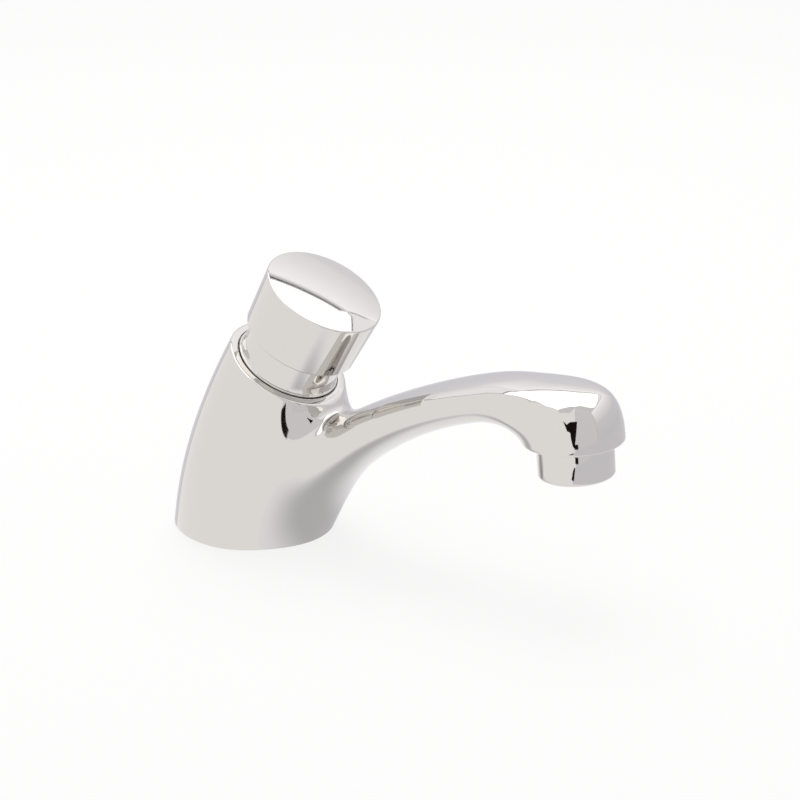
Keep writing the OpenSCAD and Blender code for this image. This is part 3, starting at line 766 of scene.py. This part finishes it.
    def build(self) -> bpy.types.Object:
        """Makes the mesh from the chamber's floor up over the rim, down the body and along the spout."""
        sheet = MeshSheet()
        spans = self.columns // 2 - 2 * self.half_window
        low_rows = np.linspace(self.foot_share, self.window[0], self.foot_rows + 1)[:-1]
        win_rows = self.window[0] + (self.window[1] - self.window[0]) / spans * np.arange(spans + 1)
        a = np.concatenate([low_rows, win_rows, self.rim_shares])
        body = self.body_points(a)
        ids = self.skin_rows(sheet, self.form.skin, body)
        first, last = len(low_rows), len(low_rows) + len(win_rows) - 1
        columns = np.arange(self.columns)
        in_window = (columns < self.half_window) | (columns >= self.columns - self.half_window)
        keep = np.ones((len(a) - 1, self.columns), dtype=bool)
        keep[first:last] = ~in_window
        sheet.band(ids, keep)
        chamber = self.add_rim(sheet, ids[-1], body[-1])
        hollow = self.add_foot(sheet, ids[0], body[0])
        self.add_inlet(sheet, chamber, hollow)
        loop = self.window_loop(first, last)
        rings = self.spout_rings()
        bridge = self.bridge(body[loop], rings[0])
        tube = self.skin_rows(sheet, self.form.skin, np.concatenate([bridge, rings]))
        sheet.band(np.concatenate([ids[loop][None], tube]))
        self.add_face(sheet, tube[-1], rings[-1])
        return sheet.make("tap_body_chromed")

    def window_loop(self, first: int, last: int) -> tuple[np.ndarray, np.ndarray]:
        """Rows and columns of the grid points round the window, from the middle of its lower side."""
        half = self.half_window
        across = np.arange(half + 1)
        climb = np.arange(first + 1, last + 1)
        rows = np.concatenate([np.full(half + 1, first), climb, np.full(2 * half, last), climb[::-1][1:],
                               np.full(half, first)])
        cols = np.concatenate([across, np.full(len(climb), half), np.arange(half - 1, -half - 1, -1),
                               np.full(len(climb) - 1, -half), np.arange(-half, 0)])
        return rows, cols % self.columns

    def add_rim(self, sheet: MeshSheet, ids: np.ndarray, row: np.ndarray) -> tuple[np.ndarray, np.ndarray]:
        """The rim's rounded edge, its flat, the recess and the stepped bore for the valve.

        Returns:
            Numbers and places of the last row, round the chamber's floor.
        """
        s = self.sizes
        axis = s.button_axis
        edge = self.edge_rows(self.form.rim_cut, row, self.inward(axis, row), axis.z[None],
                              self.form.rim_edge)
        rim = self.skin_rows(sheet, self.form.rim_cut, edge)
        lip, flat = 0.25, 0.35
        steps = [(s.recess_r, s.recess_depth), (s.bore_r, s.spigot_depth),
                 (s.cartridge_r + s.valve_gap, s.shoulder_depth), (s.bore_r - s.valve_gap, s.nose_depth),
                 (s.nose_r + s.valve_gap, s.chamber_depth)]
        corners = [[steps[0][0], -steps[0][1]]]
        for (_, start), (radius, end) in zip(steps, steps[1:]):
            corners += [[radius, -start], [radius, -end]]
        profile = np.concatenate([
            [[s.recess_r + lip + flat, 0.0]],
            arc((s.recess_r + lip, -lip), lip, 90, 180, 5),
            corners])
        places = turned(profile, self.columns, axis)
        bore = sheet.add(places)
        sheet.band(np.concatenate([ids[None], rim, bore]))
        return bore[-1], places[-1]

    def add_inlet(self, sheet: MeshSheet, chamber: tuple[np.ndarray, np.ndarray],
                  hollow: tuple[np.ndarray, np.ndarray]) -> None:
        """The inlet from the foot's hollow into the valve's chamber, and the fixing stud's blind hole.

        Args:
            sheet: The body's mesh.
            chamber: Numbers and places of the row round the chamber's floor.
            hollow: Numbers and places of the row round the hollow's ceiling.
        """
        s = self.sizes
        narrow_r = s.inlet_r - s.inlet_step
        upright = AxisFrame.leaning((s.inlet_x, 0.0, s.hollow_h), 0.0)
        inlet = turned(np.array([[s.inlet_r, 0.0], [s.inlet_r, s.inlet_len], [narrow_r, s.inlet_len],
                                 [narrow_r, s.inlet_len]]), self.hole_columns, upright)
        over_floor = s.button_axis.measure(inlet[-1])[:, 2] + s.chamber_depth
        inlet[-1, :, 2] -= over_floor / s.button_axis.z[2]
        inlet_ids = sheet.add(inlet)
        sheet.band(inlet_ids[:, ::-1])
        sheet.plate(s.button_axis, [chamber, (inlet_ids[-1], inlet[-1])], True)
        upright = AxisFrame.leaning((s.stud_x, 0.0, s.hollow_h), 0.0)
        stud = turned(np.array([[s.stud_r, 0.0], [s.stud_r, s.stud_depth]]), self.hole_columns, upright)
        stud_ids = sheet.add(stud)
        sheet.band(stud_ids[:, ::-1])
        sheet.cap(stud_ids[-1], upright.place(np.array([0.0, 0.0, s.stud_depth])), False)
        sheet.plate(upright, [hollow, (inlet_ids[0], inlet[0]), (stud_ids[0], stud[0])], False)

    def add_foot(self, sheet: MeshSheet, ids: np.ndarray, row: np.ndarray) -> tuple[np.ndarray, np.ndarray]:
        """The foot's edge, its flat ring with the seal's groove, and the hollow over it.

        Returns:
            Numbers and places of the last row, round the hollow's ceiling.
        """
        s = self.sizes
        upright = AxisFrame.leaning((s.foot_mid_x, 0.0, 0.0), 0.0)
        edge = self.edge_rows(self.form.foot_cut, row, self.inward(upright, row), -upright.z[None],
                              self.form.foot_edge)
        foot = self.skin_rows(sheet, self.form.foot_cut, edge)
        inner, outer = s.hollow_r + s.groove[0], s.hollow_r + s.groove[1]
        profile = np.array([
            [outer, 0.0], [outer, s.groove_depth], [inner, s.groove_depth], [inner, 0.0],
            [s.hollow_r, 0.0], [s.hollow_r, s.hollow_h]])
        places = turned(profile, self.columns, upright)
        under = sheet.add(places)
        rows = np.concatenate([ids[None], foot, under])
        sheet.band(rows[:, ::-1])
        return under[-1], places[-1]

    def add_face(self, sheet: MeshSheet, ids: np.ndarray, row: np.ndarray) -> None:
        """The head's lower edge, its flat face, the nipple and the outlet chamber."""
        s = self.sizes
        axis = s.outlet_axis
        edge = self.edge_rows(self.form.face_cut, row, self.inward(axis, row), -axis.z[None],
                              self.form.face_edge)
        face = self.skin_rows(sheet, self.form.face_cut, edge)
        profile = np.array([
            [s.nipple_r, 0.0], [s.nipple_r, -s.nipple_len], [s.nipple_r - s.nipple_wall, -s.nipple_len],
            [s.nipple_r - s.nipple_wall, s.outlet_chamber_h]])
        grid = turned(profile, self.columns, axis)
        order = (self.columns // 2 - np.arange(self.columns)) % self.columns
        nipple = sheet.add(grid[:, order])
        sheet.band(np.concatenate([ids[None], face, nipple]))
        sheet.cap(nipple[-1], axis.place(np.array([0.0, 0.0, s.outlet_chamber_h])), True)


@dataclass
class PushButton:
    """The chromed button: domed top, crisp rim, tapered side, rounded lower end and thick skirt."""

    sizes: TapSizes
    columns: int = 224
    edge: float = 0.6
    low_edge: float = 0.9
    slide_gap: float = 0.4
    mouth_chamfer: tuple[float, float] = (0.05, 0.1)
    top_wall: float = 3.1
    boss_wall: float = 3.3
    boss_end: float = 19.0
    socket_gap: float = 0.1
    socket_roof: float = 1.5

    def build(self) -> bpy.types.Object:
        """Makes the mesh by turning the button's profile, from the middle of its top to its socket."""
        s = self.sizes
        low = s.button_low_h
        fillet = self.low_edge
        reach = s.button_r - self.edge
        dome_r = (reach ** 2 + s.crown ** 2) / (2 * s.crown)
        lean = math.degrees(math.asin(reach / dome_r))
        inner = s.neck_r + self.slide_gap
        roof = s.button_h - self.top_wall
        boss, socket = s.spindle_r + self.boss_wall, s.spindle_r + self.socket_gap
        socket_end = roof - self.socket_roof
        flare, rise = self.mouth_chamfer
        profile = np.concatenate([
            arc((0.0, s.button_h + s.crown - dome_r), dome_r, 89.6, 90 - lean, 40),
            arc((reach, s.button_h - self.edge), self.edge, 75, 0, 10),
            arc((s.button_low_r - fillet, low + fillet), fillet, 0, -90, 16),
            [[inner + flare, low], [inner, low + rise], [inner, roof], [boss, roof], [boss, self.boss_end],
             [socket, self.boss_end], [socket, socket_end]]])
        sheet = MeshSheet()
        rows = sheet.add(turned(profile, self.columns, s.button_axis))
        sheet.band(rows[:, ::-1])
        axis = s.button_axis
        sheet.cap(rows[0], axis.place(np.array([0.0, 0.0, s.button_h + s.crown])), True)
        sheet.cap(rows[-1], axis.place(np.array([0.0, 0.0, socket_end])), False)
        return sheet.make("push_button_chromed")


@dataclass
class NeckBezel:
    """The chromed neck: spigot in the body, rounded foot, hollow flare and sleeve under the button."""

    sizes: TapSizes
    columns: int = 192
    bead: float = 0.35
    stop_gap: float = 0.4
    in_button: float = 6.1
    mouth_round: float = 0.6
    sleeve_wall: float = 2.3
    spigot_len: float = 9.7
    spigot_gap: float = 0.1
    cartridge_gap: float = 0.2
    bush_wall: float = 2.0
    web: tuple[float, float] = (5.0, 8.0)

    def build(self) -> bpy.types.Object:
        """Makes the mesh by turning the neck's profile, a closed loop."""
        s = self.sizes
        bead, curve = self.bead, self.mouth_round
        top = s.button_low_h + self.in_button
        flare_top = s.button_low_h - s.travel - self.stop_gap
        flare_r = s.neck_foot_r - bead - s.neck_r
        flare = arc((0.0, 0.0), 1.0, -90, -180, 14) * np.array([flare_r, flare_top - 2 * bead])
        flare = flare + np.array([s.neck_foot_r - bead, flare_top])
        inside, sleeve = s.cartridge_r + self.cartridge_gap, s.neck_r - self.sleeve_wall
        spigot, bush = s.bore_r - self.spigot_gap, s.spindle_r + self.bush_wall
        web_low, web_top = self.web
        profile = np.concatenate([
            [[inside, -self.spigot_len], [spigot, -self.spigot_len], [spigot, -s.recess_depth],
             [s.neck_foot_r, -s.recess_depth]],
            arc((s.neck_foot_r - bead, bead), bead, 0, 90, 8),
            flare[1:],
            arc((s.neck_r - curve, top - curve), curve, 0, 90, 6),
            [[sleeve, top], [sleeve, web_top], [bush, web_top], [bush, web_low], [inside, web_low]]])
        return turned_ring("neck_bezel_chromed", profile, self.columns, s.button_axis)


@dataclass
class OutletRing:
    """The chromed cap on the outlet's nipple."""

    sizes: TapSizes
    columns: int = 192
    fillet: float = 1.25
    lip: float = 0.2
    face_gap: float = 0.3
    thread_gap: float = 0.1
    seat_depth: float = 1.4
    insert_step: float = 0.6
    ledge: tuple[float, float] = (2.2, 1.2)

    def build(self) -> bpy.types.Object:
        """Makes the mesh by turning the ring's profile, a closed loop."""
        s = self.sizes
        lip = self.lip
        low, top, seat = -s.ring_h, -self.face_gap, -s.nipple_len - self.seat_depth
        thread, insert = s.nipple_r + self.thread_gap, s.nipple_r - self.insert_step
        mouth, ledge = s.nipple_r - self.ledge[0], low + self.ledge[1]
        profile = np.concatenate([
            [[mouth, low]],
            arc((s.ring_r - self.fillet, low + self.fillet), self.fillet, -90, 0, 14),
            arc((s.ring_r - lip, top - lip), lip, 0, 90, 4),
            [[thread, top], [thread, seat], [insert, seat], [insert, ledge], [mouth, ledge]]])
        return turned_ring("aerator_ring_chromed", profile, self.columns, s.outlet_axis)


@dataclass
class ReturnSpring:
    """The coil under the piston: a round wire along a helix."""

    sizes: TapSizes
    radius: float = 6.8
    wire: float = 0.5
    turns: float = 4.5
    low: float = -17.0
    top: float = -3.3
    end_gap: float = 0.05
    steps: int = 220
    sides: int = 16

    def build(self) -> bpy.types.Object:
        """Makes the mesh: a circle of the wire's radius carried square to the helix, with closed ends."""
        a = np.linspace(0, 2 * math.pi * self.turns, self.steps)[:, None]
        f = (2 * math.pi * np.arange(self.sides) / self.sides)[None]
        room = self.top - self.low - 2 * (self.wire + self.end_gap)
        lean = math.atan(room / (2 * math.pi * self.radius * self.turns))
        u, v = self.wire * np.cos(f), self.wire * np.sin(f)
        height = self.low + self.wire + self.end_gap + room * a / a[-1]
        local = np.stack([(self.radius + u) * np.cos(a) + v * math.sin(lean) * np.sin(a),
                          (self.radius + u) * np.sin(a) - v * math.sin(lean) * np.cos(a),
                          height + v * math.cos(lean)], axis=-1)
        sheet = MeshSheet()
        rows = sheet.add(self.sizes.button_axis.place(local))
        sheet.band(rows[:, ::-1])
        ends = self.sizes.button_axis.place(local[[0, -1]].mean(axis=1))
        sheet.cap(rows[0], ends[0], True)
        sheet.cap(rows[-1], ends[1], False)
        return sheet.make("return_spring_wire")


@dataclass
class Studio:
    """Floor, light and camera: a pale table in a soft light tent.

    The tent stands square to the camera. Its places are in mm, to the right of, behind and above the tap,
    and a strength of 1 is white. Cards are seen in mirrors alone.
    """

    distance: float = 950.0
    azimuth: float = 32.24
    elevation: float = 20.42
    shift: tuple[float, float] = (-47.31, -39.96)
    focal: float = 128.68
    sensor: float = 36.0
    shade_core: float = 0.2
    table_half: float = 3000.0
    table_drop: float = 0.05
    table_white: float = 0.8
    soft_light: float = 0.7
    ceiling_h: float = 803.0
    seam_h: float = 13.0
    wall_split: float = 430.0

    def view_axes(self) -> tuple[Vector, Vector, Vector]:
        """Right, up and back of the camera."""
        a, e = math.radians(self.azimuth), math.radians(self.elevation)
        right = Vector((math.cos(a), math.sin(a), 0.0))
        up = Vector((-math.sin(e) * math.sin(a), math.sin(e) * math.cos(a), math.cos(e)))
        return right, up, right.cross(up)

    def camera(self) -> None:
        """Sets the camera where the photograph was taken from."""
        right, up, back = self.view_axes()
        lens = bpy.data.cameras.new("photo_camera")
        lens.lens = self.focal
        lens.sensor_width = self.sensor
        lens.clip_start, lens.clip_end = 0.01, 20.0
        place = (back * self.distance - right * self.shift[0] - up * self.shift[1]) * MM
        camera = bpy.data.objects.new("photo_camera", lens)
        camera.matrix_world = Matrix.Translation(place) @ Matrix((right, up, back)).transposed().to_4x4()
        bpy.context.scene.collection.objects.link(camera)
        bpy.context.scene.camera = camera

    def tent(self, right: float, depth: float, height: float) -> Vector:
        """A place in the tent, which stands square to the camera: right of, behind and above the tap."""
        a = math.radians(self.azimuth)
        return Vector((right * math.cos(a) - depth * math.sin(a),
                       right * math.sin(a) + depth * math.cos(a), height))

    def glow(self, name: str, corners: list[tuple[float, float, float]], colour: str, grade) -> None:
        """A flat sheet of the light tent that only mirrors see.

        Args:
            name: Name of the sheet.
            corners: Its corners in the tent, in mm.
            colour: sRGB colour of its light.
            grade: Function of the node tree and of the place's socket that gives the strength's socket.
        """
        mesh = bpy.data.meshes.new(name)
        mesh.from_pydata([self.tent(*corner) * MM for corner in corners], [], [tuple(range(len(corners)))])
        material = bpy.data.materials.new(name)
        material.use_nodes = True
        tree = material.node_tree
        tree.nodes.clear()
        place = add_node(tree, "ShaderNodeTexCoord")
        light = add_node(tree, "ShaderNodeEmission", inputs={
            "Color": linear(colour), "Strength": grade(tree, place.outputs["Object"])})
        add_node(tree, "ShaderNodeOutputMaterial", inputs={"Surface": light.outputs[0]})
        mesh.materials.append(material)
        sheet = bpy.data.objects.new(name, mesh)
        sheet.visible_camera = sheet.visible_diffuse = sheet.visible_shadow = False
        bpy.context.scene.collection.objects.link(sheet)

    def card(self, name: str, corners: list[tuple[float, float, float]], colour: str,
             strength: tuple[float, float]) -> None:
        """A card as bright at its lowest and its highest corner as given, 1 being white."""
        low, top = min(q[2] for q in corners), max(q[2] for q in corners)

        def by_height(tree: bpy.types.NodeTree, place: bpy.types.NodeSocket) -> bpy.types.NodeSocket:
            """Strength graded by height."""
            height = add_node(tree, "ShaderNodeSeparateXYZ", inputs={0: place})
            return add_node(tree, "ShaderNodeMapRange", inputs={
                "Value": height.outputs["Z"], "From Min": low * MM, "From Max": max(top, low + 1) * MM,
                "To Min": strength[0], "To Max": strength[1]}).outputs["Result"]

        self.glow(name, corners, colour, by_height)

    def shade(self, name: str, middle: tuple[float, float], reach: tuple[float, float],
              strength: tuple[float, float]) -> None:
        """An oval shade on the table, from its dark middle out to where it has faded.

        Args:
            name: Name of the shade.
            middle: Its middle on the table, in mm.
            reach: How far it reaches to the side and in depth, in mm.
            strength: Its brightness in the middle and at the rim.
        """
        turn = np.linspace(0, 2 * math.pi, 64, endpoint=False)
        rim = [(middle[0] + reach[0] * math.cos(f), middle[1] + reach[1] * math.sin(f), -0.01) for f in turn]

        def by_distance(tree: bpy.types.NodeTree, place: bpy.types.NodeSocket) -> bpy.types.NodeSocket:
            """Strength graded by the share of the way from the middle to the rim."""
            local = add_node(tree, "ShaderNodeMapping", {"vector_type": "TEXTURE"}, {
                "Vector": place, "Location": self.tent(*middle, 0.0) * MM,
                "Rotation": (0.0, 0.0, math.radians(self.azimuth)),
                "Scale": (reach[0] * MM, reach[1] * MM, 1.0)})
            far = add_node(tree, "ShaderNodeVectorMath", {"operation": "LENGTH"},
                           {0: local.outputs["Vector"]})
            return add_node(tree, "ShaderNodeMapRange", {"interpolation_type": "SMOOTHSTEP"}, {
                "Value": far.outputs["Value"], "From Min": self.shade_core, "From Max": 1.0,
                "To Min": strength[0], "To Max": strength[1]}).outputs["Result"]

        self.glow(name, rim, "#fbfbff", by_distance)

    def wall(self, name: str, start: tuple[float, float], end: tuple[float, float], rise: tuple[float, float],
             colour: str, strength: tuple[float, float]) -> None:
        """An upright card between two places on the table, from one height to another."""
        self.card(name, [(*start, rise[0]), (*end, rise[0]), (*end, rise[1]), (*start, rise[1])],
                  colour, strength)

    def light_tent(self) -> None:
        """Cards round the tap: white stays to the left and in front, grey stands to the right and behind.

        Their outlines follow the edges that the chrome mirrors in the photograph, found by following the
        camera's rays off the tap. The walls are darker at the foot, and a dark seam runs under the ceiling.
        """
        lilac, pale, dark = "#f7f6fd", "#fcfcff", "#1c1512"
        self.shade("tap_shade", (25, -25), (23, 74), (0.6, 1.0))
        table = [(-25, -8), (40, 70), (150, 70), (150, -60), (72, -190), (95, -362), (700, -566),
                 (1182, -300), (1182, 1400), (-1000, 1400)]
        self.card("grey_table_sheet", [(*q, -0.03) for q in table], lilac, (0.8, 0.8))
        top, seam, split = self.ceiling_h, self.ceiling_h - self.seam_h, self.wall_split
        right = (709, -554), (800, 930)
        self.wall("right_wall", *right, (0, 300), lilac, (0.78, 0.85))
        self.wall("right_wall_upper", *right, (300, seam), pale, (0.85, 1.25))
        self.wall("right_wall_seam", *right, (seam, top), dark, (1.0, 1.0))
        plan = [(800, 930), (700, 765), (602, 680), (560, 634), (420, 604), (281, 580), (175, 572), (82, 568),
                (14, 565), (-70, 577), (-131, 572), (-177, 552)]
        bands = [("back_wall", (0, split), lilac, (0.75, 0.97)),
                 ("back_wall_upper", (split, 740), pale, (0.97, 1.28)),
                 # This band darkens upwards into the seam: painted shade of the back wall just under the
                 # ceiling.
                 ("back_wall_painted_shade", (740, seam), pale, (1.28, 0.45)),
                 ("back_wall_seam", (seam, top), dark, (1.0, 1.0))]
        for number, (start, end) in enumerate(zip(plan, plan[1:])):
            for name, rise, colour, strength in bands:
                self.wall(f"{name}_{number}", start, end, rise, colour, strength)
        left = plan[-1], (-700, 900)
        self.wall("back_wall_left", *left, (0, split), lilac, (0.75, 0.97))
        self.wall("back_wall_left_upper", *left, (split, top), pale, (0.97, 1.12))
        self.wall("front_right_wall", (92, -362), (700, -566), (0, top), pale, (0.8, 0.82))
        self.wall("corner_gap", (684, -548), (709, -560), (0, top), dark, (20.0, 20.0))
        front = [(-337, -474), (-129, -375), (-11, -325), (99, -324), (221, -272), (369, -307), (551, -323),
                 (712, -252), (690, -560), (92, -362), (-60, -640), (-400, -640)]
        self.card("front_ceiling", [(*q, top) for q in front], pale, (0.78, 0.78))
        ceiling = [(-395, 290), (-440, 320), (-462, 332), (-553, 322), (-661, 404), (-705, 468), (-805, 700),
                   (-805, 900), (900, 940), (900, -250), (300, -240)]
        self.card("ceiling_sheet", [(*q, top + 0.5) for q in ceiling], pale, (1.12, 1.12))
        dark_line = [(-392, 272), (-446, 306), (-466, 314), (-557, 306), (-672, 390), (-720, 460),
                     (-822, 690), (-820, 915), (915, 950), (915, -265), (300, -255)]
        self.card("ceiling_seam", [(*q, top + 1) for q in dark_line], dark, (1.0, 1.0))
        box = np.array([
            (618, 655), (596, 664), (560, 622), (420, 592), (281, 568), (175, 560), (82, 556), (14, 553),
            (-70, 565), (-131, 560), (-177, 540), (-217, 518), (-263, 460), (-290, 427), (-343, 349),
            (-401, 282), (-371, 200), (-371, 130), (-382, 1), (-420, -75), (-470, -142), (-510, -235),
            (-436, -343), (-337, -464), (-129, -365), (-11, -315), (99, -314), (221, -262), (369, -297),
            (551, -313), (720, -242), (725, 2), (691, 245), (630, 520), (623, 600)], dtype=float)
        middle, frame = np.array([60.0, 180.0]), 9.0
        rim = middle + (box - middle) * (1 + frame / np.linalg.norm(box - middle, axis=1, keepdims=True))
        self.card("softbox", [(*q, top - 3) for q in box.tolist()], "#ffffff", (1.7, 1.7))
        self.card("softbox_rim", [(*q, top - 2) for q in rim.tolist()], dark, (1.0, 1.0))
        gap = [(63, -198), (78, -198), (80, -245), (84, -300), (70, -300), (62, -245)]
        self.card("table_gap", [(*q, -0.01) for q in gap], dark, (1.0, 1.0))
        self.wall("stand_foot", (82, -358), (128, -370), (0, 20), dark, (1.0, 1.0))
        stand = [(80.4, 81.4), (87, 74.5), (91.4, 78.8), (102.4, 79.7), (101, 65.5), (99.8, 57.6),
                 (98.4, 51.3), (95.9, 52.7), (93.9, 57.6), (92.3, 64.5), (88.3, 65.5)]
        stand_depth = -105
        self.card("camera_on_its_stand", [(q, stand_depth, z) for q, z in stand], dark, (1.0, 1.0))

    def floor(self) -> None:
        """The pale table: white to the camera, with a faint soft shadow."""
        half, drop = self.table_half * MM, -self.table_drop * MM
        mesh = bpy.data.meshes.new("pale_table")
        mesh.from_pydata([(-half, -half, drop), (half, -half, drop), (half, half, drop), (-half, half, drop)],
                         [], [(0, 1, 2, 3)])
        material = bpy.data.materials.new("painted_table_top")
        material.use_nodes = True
        tree = material.node_tree
        tree.nodes.clear()
        paint = add_node(tree, "ShaderNodeBsdfDiffuse", inputs={"Color": linear("#f6f5f4")})
        white = add_node(tree, "ShaderNodeEmission", inputs={"Color": linear("#ffffff"), "Strength": 1.0})
        ray = add_node(tree, "ShaderNodeLightPath")
        seen = add_node(tree, "ShaderNodeMath", {"operation": "MULTIPLY"},
                        {0: ray.outputs["Is Camera Ray"], 1: self.table_white})
        share = add_node(tree, "ShaderNodeMath", {"operation": "MAXIMUM"},
                         {0: seen.outputs[0], 1: ray.outputs["Is Glossy Ray"]})
        both = add_node(tree, "ShaderNodeMixShader", inputs={
            "Fac": share.outputs[0], 1: paint.outputs[0], 2: white.outputs[0]})
        add_node(tree, "ShaderNodeOutputMaterial", inputs={"Surface": both.outputs[0]})
        mesh.materials.append(material)
        table = bpy.data.objects.new("pale_table", mesh)
        bpy.context.scene.collection.objects.link(table)

    def world(self) -> None:
        """White to the camera and to mirrors, a plain soft light to everything else."""
        world = bpy.data.worlds.new("light_tent")
        bpy.context.scene.world = world
        world.use_nodes = True
        tree = world.node_tree
        tree.nodes.clear()
        ray = add_node(tree, "ShaderNodeLightPath")
        seen = add_node(tree, "ShaderNodeMath", {"operation": "MAXIMUM"},
                        {0: ray.outputs["Is Camera Ray"], 1: ray.outputs["Is Glossy Ray"]})
        seen = add_node(tree, "ShaderNodeMath", {"operation": "MAXIMUM"},
                        {0: seen.outputs[0], 1: ray.outputs["Is Transmission Ray"]})
        soft, white = [add_node(tree, "ShaderNodeBackground", inputs={
            "Color": linear("#ffffff"), "Strength": strength}) for strength in (self.soft_light, 1.0)]
        both = add_node(tree, "ShaderNodeMixShader", inputs={
            "Fac": seen.outputs[0], 1: soft.outputs[0], 2: white.outputs[0]})
        add_node(tree, "ShaderNodeOutputWorld", inputs={"Surface": both.outputs[0]})

    def lamp(self, name: str, place: tuple[float, float, float], size: float, power: float) -> None:
        """A soft lamp that lights the table and isn't seen in mirrors.

        Args:
            name: Name of the lamp.
            place: Where it hangs, in mm.
            size: Its width, in mm.
            power: Its power in watts.
        """
        light = bpy.data.lights.new(name, "AREA")
        light.size = size * MM
        light.energy = power
        lamp = bpy.data.objects.new(name, light)
        lamp.location = Vector(place) * MM
        lamp.rotation_euler = (-lamp.location).to_track_quat("-Z", "Y").to_euler()
        lamp.visible_glossy = False
        bpy.context.scene.collection.objects.link(lamp)

    def build(self) -> None:
        """Sets up everything round the tap."""
        scene = bpy.context.scene
        scene.view_settings.view_transform = "Standard"
        self.camera()
        self.floor()
        self.world()
        self.light_tent()
        self.lamp("overhead_lamp", (-150.0, 250.0, 900.0), 700.0, 4.0)


def dress(piece: bpy.types.Object, material: bpy.types.Material, slot: Slot, body: Body,
          *nodes: str) -> None:
    """Gives a new piece its material and body, and hides the frame's nodes that it stands for."""
    piece.data.materials.append(material)
    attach(piece, body.value)
    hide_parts(*nodes)
    LOG.info("%s: %d faces on body %s", piece.name, len(piece.data.polygons), body.value)


@dataclass
class Tap:
    """The whole tap: chromed pieces made here, inner pieces kept from the frame."""

    frame: dict
    sizes: TapSizes = field(default_factory=TapSizes)

    INNER = {
        Slot.RUBBER: ("base_seal", "gland_seal", "shoulder_seal", "nose_seal", "aerator_washer", "lip_seal",
                      "valve_washer"),
        Slot.BRASS: ("cartridge_body", "lock_nut", "valve_holder", "valve_nut"),
        Slot.ACETAL: ("cartridge_cap", "guide_bush", "timing_piston"),
        Slot.STAINLESS: ("inlet_strainer", "aerator_screen", "spindle", "piston_clip"),
        Slot.GRID: ("aerator_insert",),
        Slot.REGULATOR: ("flow_regulator",),
    }
    FINISHES = {
        Slot.CHROME: CHROME, Slot.RUBBER: RUBBER, Slot.BRASS: BRASS, Slot.ACETAL: ACETAL,
        Slot.STAINLESS: STAINLESS, Slot.GRID: GRID, Slot.REGULATOR: REGULATOR,
    }

    def build(self) -> None:
        """Builds and dresses every piece."""
        materials = {slot: finish.build() for slot, finish in self.FINISHES.items()}
        chrome = materials[Slot.CHROME]
        s = self.sizes
        dress(Casting(s).build(), chrome, Slot.CHROME, Body.TAP, "tap_body")
        dress(NeckBezel(s).build(), chrome, Slot.CHROME, Body.TAP, "neck_bezel")
        dress(OutletRing(s).build(), chrome, Slot.CHROME, Body.TAP, "aerator_ring")
        dress(PushButton(s).build(), chrome, Slot.CHROME, Body.BUTTON, "push_button")
        spring = ReturnSpring(s)
        coil = spring.build()
        dress(coil, materials[Slot.STAINLESS], Slot.STAINLESS, Body.TAP, "return_spring")
        axis = s.button_axis
        seat = axis.place(np.array([0.0, 0.0, spring.low])) * MM
        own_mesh(coil)
        for slot, names in self.INNER.items():
            for name in names:
                node = self.frame["nodes"][name]
                node.data.materials.clear()
                node.data.materials.append(materials[slot])
                LOG.info("%s: kept from the frame, %s", name, materials[slot].name)


def main() -> None:
    """Loads the frame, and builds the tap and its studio."""
    logging.basicConfig(level=logging.INFO, format="%(name)s %(message)s")
    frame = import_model()
    Tap(frame).build()
    Studio().build()


if __name__ == "__main__":
    main()
